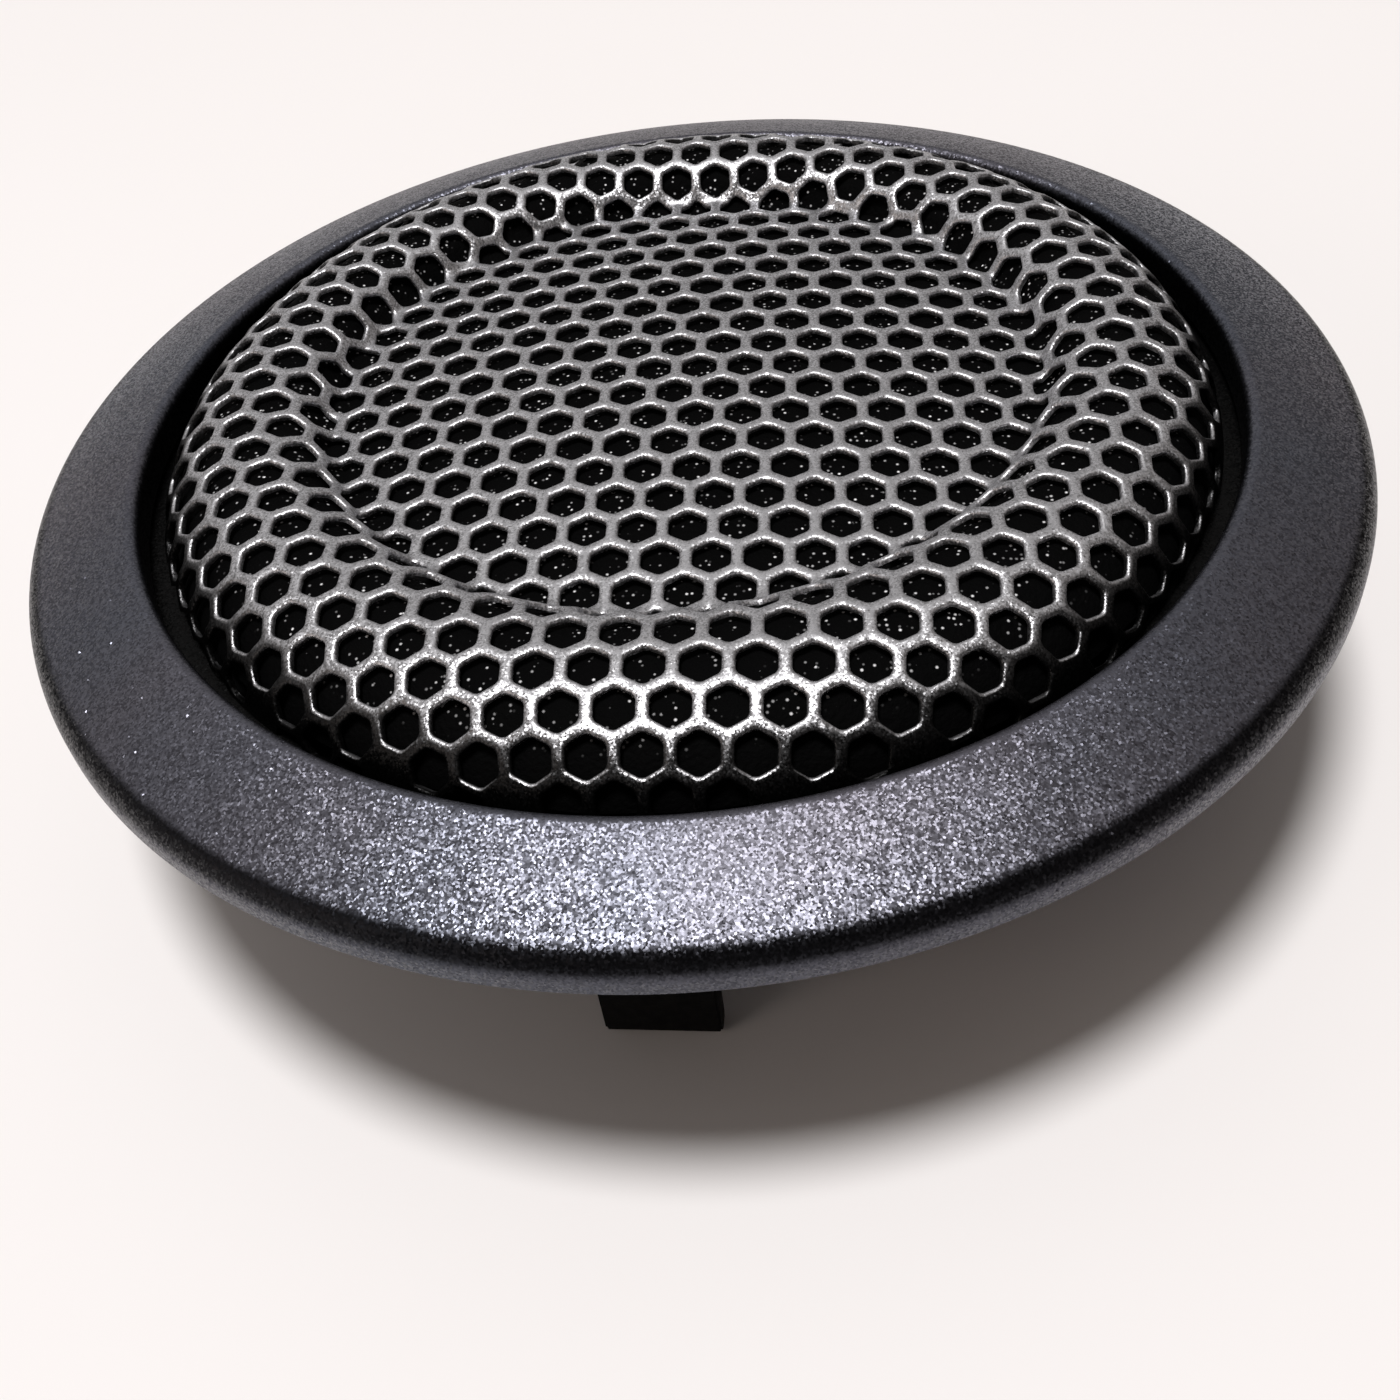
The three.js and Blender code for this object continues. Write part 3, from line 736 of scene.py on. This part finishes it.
def grille_line(azimuth):
    """The grille's top surface at one azimuth, from the axis to below the bezel's edge."""
    edge = off_centre_radius(DISH_R, DISH_SHIFT, azimuth)
    dish_r = np.linspace(0, edge, DISH_STEPS + 1)
    dish_z = DISH_TOP - DISH_FALL * dish_r ** 2
    t = np.linspace(0, 1, RISE_STEPS + 1)[1:]
    out = cubic(t, *RISE_OUT)
    up = cubic(t, *RISE_UP)
    rise_r = off_centre_radius(DISH_R + out * (CREST_R - DISH_R), DISH_SHIFT, azimuth)
    rise_z = dish_z[-1] + up * (CREST_Z - dish_z[-1])
    turn = np.linspace(0, math.pi / 2, SHOULDER_STEPS)[1:]
    out = np.sin(turn)
    fullness = SHOULDER_NEAR + (SHOULDER_FAR - SHOULDER_NEAR) * (1 + math.sin(azimuth)) / 2
    height = np.maximum(np.cos(turn), 0) ** fullness * (CREST_Z - GRILLE_WALL_TOP)
    radius = CREST_R + out * (GRILLE_R - CREST_R)
    shoulder_r = off_centre_radius(radius, DISH_SHIFT * (1 - out), azimuth)
    wall_z = np.linspace(GRILLE_WALL_TOP, HEM_BOTTOM + 0.1, WALL_STEPS)[1:]
    r = np.concatenate([dish_r, rise_r, shoulder_r, np.full(len(wall_z), GRILLE_R)])
    z = np.concatenate([dish_z, rise_z, GRILLE_WALL_TOP + height, wall_z])
    return r, z


def grille_point(flat, depth):
    """Wraps points of the flat sheet onto the pressed grille, depth below its top surface.
    Distances from the axis become lengths along the surface, which pressing has stretched
    a little on the rise."""
    distance = np.hypot(flat[:, 0], flat[:, 1])
    azimuth = np.arctan2(flat[:, 1], flat[:, 0]) % (2 * math.pi)
    share = azimuth / (2 * math.pi) * GRILLE_LINES
    column = np.floor(share).astype(int) % GRILLE_LINES
    part = share - np.floor(share)
    radius = np.zeros(len(flat))
    height = np.zeros(len(flat))
    for i in range(GRILLE_LINES):
        chosen = column == i
        if not chosen.any():
            continue
        for line, weight in ((i, 1 - part), ((i + 1) % GRILLE_LINES, part)):
            r, z = grille_line(2 * math.pi * line / GRILLE_LINES)
            run = np.gradient(r)
            fall = np.gradient(z)
            steps = np.hypot(np.diff(r), np.diff(z))
            steps[DISH_STEPS:DISH_STEPS + RISE_STEPS] *= RISE_STRETCH
            length = np.concatenate([[0], np.cumsum(steps)])
            size = np.hypot(run, fall)
            along = distance[chosen]
            lean_r = np.interp(along, length, -fall / size)
            lean_z = np.interp(along, length, run / size)
            radius[chosen] += weight[chosen] * (np.interp(along, length, r) - depth[chosen] * lean_r)
            height[chosen] += weight[chosen] * (np.interp(along, length, z) - depth[chosen] * lean_z)
    return np.stack([radius * np.cos(azimuth), radius * np.sin(azimuth), height], axis=1)


def hexagon(across, corner_cut):
    """Points round a hexagon with corners on the Y axis, its corners pulled in by a share."""
    corners = []
    for side in range(7):
        angle = math.radians(90 + 60 * side)
        corners.append(across / math.sqrt(3) * np.array([math.cos(angle), math.sin(angle)]))
    points = []
    for side in range(6):
        for part in SIDE_PARTS:
            point = (1 - part) * corners[side] + part * corners[side + 1]
            points.append(point * (1 - corner_cut) if part == 0 else point)
    return np.array(points)


def add_cell(flat, depth, faces, centre, rings):
    """Adds the rings of one cell round its centre, and the faces between each two rings."""
    around = len(rings[0][0])
    start = len(flat) * around
    for outline, down in rings:
        flat.append(outline + np.array(centre))
        depth.append(np.full(around, down))
    for face in ring_faces(len(rings), around, closed=False):
        faces.append([start + point for point in face])


def make_grille():
    """The perforated sheet: one hexagonal cell repeated, wrapped onto the pressed shape."""
    cell = hexagon(HOLE_PITCH, 0)
    rim = [(hexagon(HOLE_ACROSS + extra, corner_cut), down) for extra, corner_cut, down in HOLE_RIM]
    holed = [(cell, 0)] + rim + [(cell, THIN_SHEET)]
    plain = [(share * cell, 0) for share in (1, 0.6, 0.2, 0)]
    plain += [(share * cell, THIN_SHEET) for share in (0, 0.2, 0.6, 1)]
    row_step = HOLE_PITCH * math.sqrt(3) / 2
    flat = []
    depth = []
    faces = []
    for row in range(-LATTICE_ROWS, LATTICE_ROWS + 1):
        for column in range(-LATTICE_COLUMNS, LATTICE_COLUMNS + 1):
            x = LATTICE_START[0] + HOLE_PITCH * (column + 0.5 * (row % 2))
            y = LATTICE_START[1] + row_step * row
            reach = math.hypot(x, y)
            if reach <= SHEET_EDGE_R:
                add_cell(flat, depth, faces, (x, y), holed if reach < PLAIN_EDGE_R else plain)
    flat = np.concatenate(flat)
    depth = np.concatenate(depth)
    cos = math.cos(LATTICE_TURN)
    sin = math.sin(LATTICE_TURN)
    turned = flat @ np.array([[cos, sin], [-sin, cos]])
    add_mesh("grille", grille_point(turned, depth), faces, "grille_paint", ["grille_mesh"])


def make_hem():
    """The plain folded edge of the sheet under the bezel, which the grille paint paints near black as
    painted shade.
    """
    top = HEM_BOTTOM + SHEET
    inner = GRILLE_R - THIN_SHEET
    profile = [(inner, HEM_BOTTOM), (HEM_R, HEM_BOTTOM), (HEM_R, top), (inner, top)]
    points, faces = lathe(rounded(profile, 0.15))
    # The grille paint is painted near black out here, as painted shade under the bezel
    add_mesh("grille_hem", points, faces, "grille_paint", ["grille_mesh"])


def make_scrim():
    """The black cloth stretched behind the mesh."""
    angles = 2 * math.pi * np.arange(SCRIM_AROUND) / SCRIM_AROUND
    circle = np.stack([np.cos(angles), np.sin(angles)], axis=1)
    flat = [np.array([[1e-4, 0.0]])]
    for row in range(1, SCRIM_ROWS + 1):
        flat.append(SCRIM_R * row / SCRIM_ROWS * circle)
    flat = np.concatenate(flat)
    ripple = np.sin(flat[:, 0] * 1.7 + 0.6 * np.sin(flat[:, 1])) * np.cos(flat[:, 1] * 1.3)
    depth = SCRIM_DEPTH + SCRIM_RIPPLE * ripple
    top = grille_point(flat, depth)
    bottom = grille_point(flat, depth + SCRIM_THICK)
    faces = []
    under = len(flat)
    for i in range(SCRIM_AROUND):
        after = (i + 1) % SCRIM_AROUND
        faces.append((0, 1 + i, 1 + after))
        faces.append((under, under + 1 + after, under + 1 + i))
        for row in range(SCRIM_ROWS - 1):
            a = 1 + row * SCRIM_AROUND + i
            b = 1 + row * SCRIM_AROUND + after
            c = b + SCRIM_AROUND
            d = a + SCRIM_AROUND
            faces.append((a, d, c, b))
            faces.append((under + a, under + b, under + c, under + d))
        faces.append((d, under + d, under + c, c))
    points = np.concatenate([top, bottom])
    scrim = add_mesh("scrim", points, faces, "scrim_cloth", ["grille_scrim"])


# ---------------------------------------------------------------- gasket, collar and legs

def polar(radius, azimuth):
    """X and Y at a distance from the axis, azimuth in degrees."""
    angle = math.radians(azimuth)
    return radius * math.cos(angle), radius * math.sin(angle)


def spoke(point, azimuth):
    """Turns a point of radius, width and height to its azimuth."""
    radius, width, height = point
    angle = math.radians(azimuth)
    x = radius * math.cos(angle) - width * math.sin(angle)
    y = radius * math.sin(angle) + width * math.cos(angle)
    return x, y, height


def make_gasket():
    """The foam ring under the flange, slightly uneven like cut foam."""
    profile = [(GASKET_INNER_R, GASKET_BOTTOM), (GASKET_R, GASKET_BOTTOM)]
    profile += [(GASKET_R, GASKET_TOP), (GASKET_INNER_R, GASKET_TOP)]
    points, faces = lathe(rounded(profile, 0.3), 240)
    uneven = []
    for x, y, z in points:
        angle = math.atan2(y, x)
        swell = 1 + 0.0012 * math.sin(23 * angle) + 0.0008 * math.sin(61 * angle + 1)
        uneven.append((x * swell, y * swell, z))
    gasket = add_mesh("gasket", uneven, faces, "foam", ["flange_gasket"])


def make_collar():
    """The sleeve behind the bezel, with a slot above each leg."""
    foot = [(19.8, COLLAR_BOTTOM), (21.3, COLLAR_BOTTOM), (21.3, COLLAR_BAND_BOTTOM)]
    foot.append((COLLAR_FLOOR_R, COLLAR_BAND_BOTTOM))
    band = [(COLLAR_R, COLLAR_BAND_BOTTOM), (COLLAR_R, COLLAR_BAND_TOP)]
    slot = [(COLLAR_FLOOR_R, COLLAR_BAND_TOP), (COLLAR_R, COLLAR_BAND_TOP)]
    head = [(COLLAR_R, COLLAR_TOP), (20.6, COLLAR_TOP), (20.6, 8.0), (19.8, 8.0)]
    azimuths = [360 * step / COLLAR_STEPS for step in range(COLLAR_STEPS)]
    for leg in LEGS.values():
        for side in (-1, 1):
            azimuths.append((leg + side * SLOT_HALF_ANGLE) % 360)
            azimuths.append((leg + side * (SLOT_HALF_ANGLE + SLOT_CORNER)) % 360)
    points = []
    for azimuth in sorted(azimuths):
        off = min(abs((azimuth - leg + 180) % 360 - 180) for leg in LEGS.values())
        middle = slot if off < SLOT_HALF_ANGLE + SLOT_CORNER / 2 else band
        points += [(*polar(r, azimuth), z) for r, z in foot + middle + head]
    faces = ring_faces(len(azimuths), len(foot + band + head))
    add_mesh("collar", points, faces, "black_plastic", ["mounting_collar"])


def prism(outline, start, end):
    """A slab from an outline of two coordinates, between two values of the third."""
    count = len(outline)
    points = [(u, v, start) for u, v in outline] + [(u, v, end) for u, v in outline]
    faces = [tuple(range(count)), tuple(range(2 * count - 1, count - 1, -1))]
    for i in range(count):
        after = (i + 1) % count
        faces.append((i, after, after + count, i + count))
    return points, faces


def block(half_width, near, far, bottom, top):
    """A block centred on the Y axis."""
    outline = [(-half_width, near), (half_width, near), (half_width, far), (-half_width, far)]
    return prism(outline, bottom, top)


def make_leg(side, azimuth):
    """A spring leg with its catch, coming out of the collar at its root, with rings of edges cut across
    it near the root.
    """
    inside = [(22.9, LEG_ROOT_Z), (22.7, 8), (21.8, 3.2), (21.8, 0.3)]
    foot = [(22, 0), (22.7, 0), (23, 0.4)]
    catch = [(23, 4.6), (23.2, 5.4), (25.4, 7.9), (25.4, 8.3), (23.9, 9), (23.9, LEG_ROOT_Z)]
    outline = inside + foot + catch
    half = LEG_WIDTH / 2
    points, faces = prism(outline, -half, half)
    points = [spoke((r, width, z), azimuth) for r, z, width in points]
    leg = add_mesh(f"leg_{side}", points, faces, "black_plastic", [f"snap_leg_{side}"], None, bevel=0.1)
    work = bmesh.new()
    work.from_mesh(leg.data)
    for height in BEND_CUTS:
        geometry = work.verts[:] + work.edges[:] + work.faces[:]
        place = (0, 0, height * MM)
        bmesh.ops.bisect_plane(work, geom=geometry, plane_co=place, plane_no=(0, 0, 1))
    work.to_mesh(leg.data)
    work.free()
    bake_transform(leg)


# ---------------------------------------------------------------- driver

def turned_piece(name, profile, slot, node, body=HOUSING, radius=0.15):
    """A turned piece with softened corners that stands for one CAD node."""
    points, faces = lathe(rounded(profile, radius))
    add_mesh(name, points, faces, slot, [node], body)


def make_disc(name, node, slot):
    """A solid disc with softened rims, the size of its CAD node."""
    radius = high(node, 0)
    bottom = low(node, 2)
    top = high(node, 2)
    profile = [(0, bottom), (radius, bottom), (radius, top), (0, top)]
    points, faces = lathe(rounded_solid(profile, 0.2), 120)
    add_mesh(name, points, faces, slot, [node])


def make_driver():
    """The magnet system and the plate in front."""
    plate = [(PLATE_INNER_R, PLATE_BOTTOM), (FRAME_R, PLATE_BOTTOM), (FRAME_R, PLATE_TOP)]
    plate.append((PLATE_INNER_R, PLATE_INNER_TOP))
    turned_piece("face_plate", plate, "frame_plastic", "faceplate")
    pot = [(0, POT_BOTTOM), (POT_R - POT_CHAMFER, POT_BOTTOM), (POT_R, POT_BOTTOM + POT_CHAMFER)]
    pot += [(POT_R, POT_TOP), (POT_WALL_R, POT_TOP), (POT_WALL_R, POT_FLOOR), (0, POT_FLOOR)]
    points, faces = lathe(rounded_solid(pot, 0.2), 200)
    add_mesh("pot", points, faces, "zinc_steel", ["magnet_pot"])
    make_disc("magnet_disc", "magnet", "magnet_plating")
    make_disc("top_plate", "pole_plate", "zinc_steel")
    make_disc("felt_disc", "damping_felt", "felt")


def make_frame():
    """The moulded ring round the magnet, with the shelf that carries the terminals."""
    profile = [(FRAME_INNER_R, FRAME_STEP_Z), (FRAME_STEP_R, FRAME_STEP_Z), (FRAME_STEP_R, FRAME_BOTTOM)]
    profile += [(FRAME_R, FRAME_BOTTOM), (FRAME_R, FRAME_TOP), (FRAME_INNER_R, FRAME_TOP)]
    turned_piece("frame_ring", profile, "frame_plastic", "driver_frame")
    points, faces = block(BOARD_HALF_WIDTH, SHELF_NEAR, SHELF_FAR, SHELF_BOTTOM, SHELF_TOP)
    add_mesh("frame_shelf", points, faces, "frame_plastic", ["driver_frame"], bevel=0.25)


def make_dome():
    """The cloth dome with the narrow lip that is glued to the surround."""
    inner_line = GLUE_LINE - SKIN
    angles = np.linspace(0, math.pi / 2, 40)
    outer = [(DOME_R * math.sin(a), GLUE_LINE + DOME_RISE * math.cos(a)) for a in angles]
    inner = [((DOME_R - SKIN) * math.sin(a), inner_line + DOME_RISE * math.cos(a)) for a in angles[::-1]]
    lip = [(DOME_R + SKIN, GLUE_LINE), (DOME_R + SKIN, inner_line)]
    points, faces = lathe(outer + lip + inner, 180)
    add_mesh("dome_cap", points, faces, "dome_silk", ["dome"], "diaphragm")


def make_surround():
    """The flexible roll round the dome, between the housing and the moving parts."""
    inner_line = GLUE_LINE - SKIN
    top = arc(ROLL_CENTRE_R, GLUE_LINE, ROLL_HALF_WIDTH, ROLL_RISE, 180, 0, 20)
    under = arc(ROLL_CENTRE_R, inner_line, ROLL_HALF_WIDTH - SKIN, ROLL_RISE, 0, 180, 20)
    inside = [(ROLL_INNER_R, inner_line), (ROLL_INNER_R, GLUE_LINE)]
    outside = [(SURROUND_R, GLUE_LINE), (SURROUND_R, inner_line)]
    points, faces = lathe(inside + top + outside + under, 180)
    roll = add_mesh("surround_roll", points, faces, "dome_silk", ["surround"], None)
    inner_edge, outer_edge = (radius * MM for radius in ROLL_BLEND)
    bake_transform(roll)
    for vertex in roll.data.vertices:
        share = (outer_edge - math.hypot(vertex.co.x, vertex.co.y)) / (outer_edge - inner_edge)
        share = min(max(share, 0), 1)


def make_coil():
    """The former behind the dome and the turns of wire on it."""
    inner_r = FORMER_R - FORMER_THICK
    former = [(inner_r, COIL_BOTTOM), (FORMER_R, COIL_BOTTOM)]
    former += [(FORMER_R, FORMER_TOP), (inner_r, FORMER_TOP)]
    turned_piece("former_tube", former, "former_film", "coil_former", "diaphragm", 0.03)
    height = (COIL_TOP - COIL_BOTTOM) / COIL_TURNS
    profile = [(COIL_INNER_R, COIL_BOTTOM)]
    for turn in range(COIL_TURNS):
        middle = COIL_BOTTOM + (turn + 0.5) * height
        profile += arc(COIL_CENTRE_R, middle, COIL_WIRE_HALF, height / 2, -80, 80, 4)
    profile.append((COIL_INNER_R, COIL_TOP))
    points, faces = lathe(profile, 140)
    add_mesh("coil_winding", points, faces, "copper_wire", ["voice_coil"], "diaphragm")


# ---------------------------------------------------------------- screws, terminals and wiring

def cut(piece, points, faces):
    """Takes a shape given in millimetres out of the piece."""
    mesh = bpy.data.meshes.new("cutter")
    mesh.from_pydata([tuple(MM * value for value in point) for point in points], [], faces)
    work = bmesh.new()
    work.from_mesh(mesh)
    bmesh.ops.remove_doubles(work, verts=work.verts, dist=WELD * MM)
    bmesh.ops.recalc_face_normals(work, faces=work.faces)
    work.to_mesh(mesh)
    work.free()
    cutter = bpy.data.objects.new("cutter", mesh)
    bpy.context.collection.objects.link(cutter)
    modifier = piece.modifiers.new("cut", "BOOLEAN")
    modifier.object = cutter
    bpy.context.view_layer.update()
    evaluated = piece.evaluated_get(bpy.context.evaluated_depsgraph_get())
    piece_mesh = bpy.data.meshes.new_from_object(evaluated)
    piece.modifiers.clear()
    piece.data = piece_mesh
    piece_mesh.set_sharp_from_angle(angle=BEVELLED_ANGLE)
    bpy.data.objects.remove(cutter)


def shifted(points, x, y):
    """Points moved in the plan."""
    return [(px + x, py + y, pz) for px, py, pz in points]


def cross_outline(arm, half_width):
    """The outline of a cross."""
    quarter = [(half_width, half_width), (half_width, arm), (-half_width, arm)]
    outline = []
    for _ in range(4):
        outline += quarter
        quarter = [(-y, x) for x, y in quarter]
    return outline


def make_screw(number, azimuth):
    """A pan-head screw with a cross recess, its head facing down."""
    head = [(0, 7.2), (0.9, 7.2), (1.35, 7.38), (1.5, 7.7), (1.5, 8.0)]
    shank = [(0.8, 8.0), (0.8, SCREW_TOP), (0, SCREW_TOP)]
    points, faces = lathe(rounded_solid(head + shank, 0.12), 48)
    x, y = polar(SCREW_CIRCLE_R, azimuth)
    node = f"frame_screw_{number}"
    screw = add_mesh(f"screw_{number}", shifted(points, x, y), faces, "zinc_steel", [node])
    points, faces = prism(cross_outline(RECESS_ARM, RECESS_HALF_WIDTH), RECESS_BOTTOM, RECESS_TOP)
    turned = [spoke(point, azimuth + RECESS_TURN) for point in points]
    cut(screw, shifted(turned, x, y), faces)


def make_terminals():
    """The board with its two blades, held by hollow rivets."""
    points, faces = block(BOARD_HALF_WIDTH, BOARD_NEAR, BOARD_FAR, BOARD_BOTTOM, BOARD_TOP)
    add_mesh("board", points, faces, "phenolic_board", ["terminal_board"], bevel=0.1)
    half = BLADE_HALF_WIDTH
    blade = [(-half, BOARD_NEAR), (half, BOARD_NEAR), (half, BLADE_TIP - 0.6), (half - 0.6, BLADE_TIP)]
    blade += [(-half + 0.6, BLADE_TIP), (-half, BLADE_TIP - 0.6)]
    blade_points, blade_faces = prism(blade, BLADE_BOTTOM, BLADE_TOP)
    hole = [(0, 4.0), (BLADE_HOLE_R, 4.0), (BLADE_HOLE_R, 6.0), (0, 6.0)]
    hole_points, hole_faces = lathe(hole, 32)
    rivet = [(0, 4.12), (0.4, 4.05), (0.62, 3.9), (0.95, 3.98), (1.1, 4.25), (1.1, 4.4), (0.45, 4.4)]
    rivet += [(0.45, RIVET_TOP), (0, RIVET_TOP)]
    rivet_points, rivet_faces = lathe(rounded_solid(rivet, 0.08), 48)
    for name, x in TERMINAL_X.items():
        node = f"terminal_{name}"
        tab_points = shifted(blade_points, x, 0)
        tab = add_mesh(f"blade_{name}", tab_points, blade_faces, "tinned_brass", [node], bevel=0.12)
        cut(tab, shifted(hole_points, x, BLADE_HOLE_Y), hole_faces)
        node = f"terminal_rivet_{name}"
        add_mesh(f"rivet_{name}", shifted(rivet_points, x, RIVET_Y), rivet_faces, "tinned_brass", [node])


def make_capacitor():
    """The can in its shrunk sleeve, with a pressed groove near one end, and its foam pad."""
    end = CAPACITOR_LENGTH / 2
    radius = CAPACITOR_R
    profile = [(0, -end + 0.15), (1.55, -end + 0.15), (1.65, -end), (1.95, -end), (radius, -end + 0.3)]
    profile += [(radius, -end + 1.1), (2.0, -end + 1.35), (2.0, -end + 1.5), (radius, -end + 1.75)]
    profile += [(radius, end - 0.3), (1.95, end), (1.65, end), (1.55, end - 0.15), (0, end - 0.15)]
    points, faces = lathe(rounded_solid(profile, 0.12), 64)
    placed = []
    for across, up, along in points:
        point = (CAPACITOR_CIRCLE_R + across, along, CAPACITOR_Z + up)
        placed.append(spoke(point, CAPACITOR_AZIMUTH))
    add_mesh("capacitor", placed, faces, "capacitor_sleeve", ["crossover_capacitor"])
    bottom = CAPACITOR_Z + CAPACITOR_R + PAD_GAP
    points, faces = prism(PAD_OUTLINE, bottom, bottom + PAD_THICK)
    placed = [spoke(point, CAPACITOR_AZIMUTH) for point in points]
    pad = add_mesh("pad", placed, faces, "foam", ["capacitor_pad"], bevel=0.15)


def curve_points(route):
    """A smooth line through the points of a route."""
    route = [np.array(point, float) for point in route]
    route = [2 * route[0] - route[1]] + route + [2 * route[-1] - route[-2]]
    points = []
    for a, b, c, d in zip(route, route[1:], route[2:], route[3:]):
        for t in np.linspace(0, 1, 10, endpoint=False):
            first = 2 * b + (c - a) * t
            second = (2 * a - 5 * b + 4 * c - d) * t ** 2
            third = (3 * b - a - 3 * c + d) * t ** 3
            points.append(0.5 * (first + second + third))
    points.append(route[-2])
    return points


def make_wire(name, node, route, radius, slot):
    """An insulated wire along a smooth route."""
    line = curve_points(route)
    points = []
    reference = np.array([0.0, 0.0, 1.0])
    last = len(line) - 1
    for i, centre in enumerate(line):
        ahead = line[min(i + 1, last)] - line[max(i - 1, 0)]
        ahead = ahead / np.linalg.norm(ahead)
        across = reference - reference.dot(ahead) * ahead
        across = across / np.linalg.norm(across)
        other = np.cross(ahead, across)
        reference = across
        for side in range(WIRE_SIDES):
            angle = 2 * math.pi * side / WIRE_SIDES
            points.append(centre + radius * (math.cos(angle) * across + math.sin(angle) * other))
    faces = ring_faces(len(line), WIRE_SIDES, closed=False)
    faces.append(tuple(range(WIRE_SIDES)))
    faces.append(tuple(last * WIRE_SIDES + side for side in range(WIRE_SIDES)))
    add_mesh(name, points, faces, slot, [node])


def capacitor_end(side, away):
    """Where a wire meets an end of the capacitor."""
    along = side * (CAPACITOR_LENGTH / 2 + 0.3 + away)
    return spoke((CAPACITOR_CIRCLE_R, along, CAPACITOR_Z), CAPACITOR_AZIMUTH)


def make_wiring():
    """The lead to the capacitor and the two leads to the voice coil."""
    bend = [(*polar(17.1, azimuth), CAPACITOR_Z) for azimuth in (60, 40, 20, 2)]
    route = [(3.2, 16.1, 4.95), (5.2, 16.2, 4.95)] + bend + [capacitor_end(1, 0)]
    make_wire("feed_lead", "feed_wire", route, FEED_WIRE_R, "red_insulation")
    x, y = polar(WIRE_HOLE_CIRCLE_R, POSITIVE_HOLE_AZIMUTH)
    route = [capacitor_end(-1, 0), capacitor_end(-1, 0.8), (11.3, -14.6, 6), (x, y, 7.9), (x, y, 8.9)]
    make_wire("coil_lead_positive", "coil_wire_positive", route, COIL_WIRE_R, "red_insulation")
    x, y = polar(WIRE_HOLE_CIRCLE_R, NEGATIVE_HOLE_AZIMUTH)
    route = [(-3.2, 16.1, 4.95), (-4.7, 16, 5.3), (-6.3, 15.6, 6.6), (x, y, 7.9), (x, y, 8.9)]
    make_wire("coil_lead_negative", "coil_wire_negative", route, COIL_WIRE_R, "black_insulation")


# ---------------------------------------------------------------- build

place_camera()
light_scene()
make_floor()
make_bezel()
make_grille()
make_hem()
make_scrim()
make_gasket()
make_collar()
for side, azimuth in LEGS.items():
    make_leg(side, azimuth)
make_driver()
make_frame()
make_dome()
make_surround()
make_coil()
for number, azimuth in enumerate(LEGS.values(), start=1):
    make_screw(number, azimuth)
make_terminals()
make_capacitor()
make_wiring()
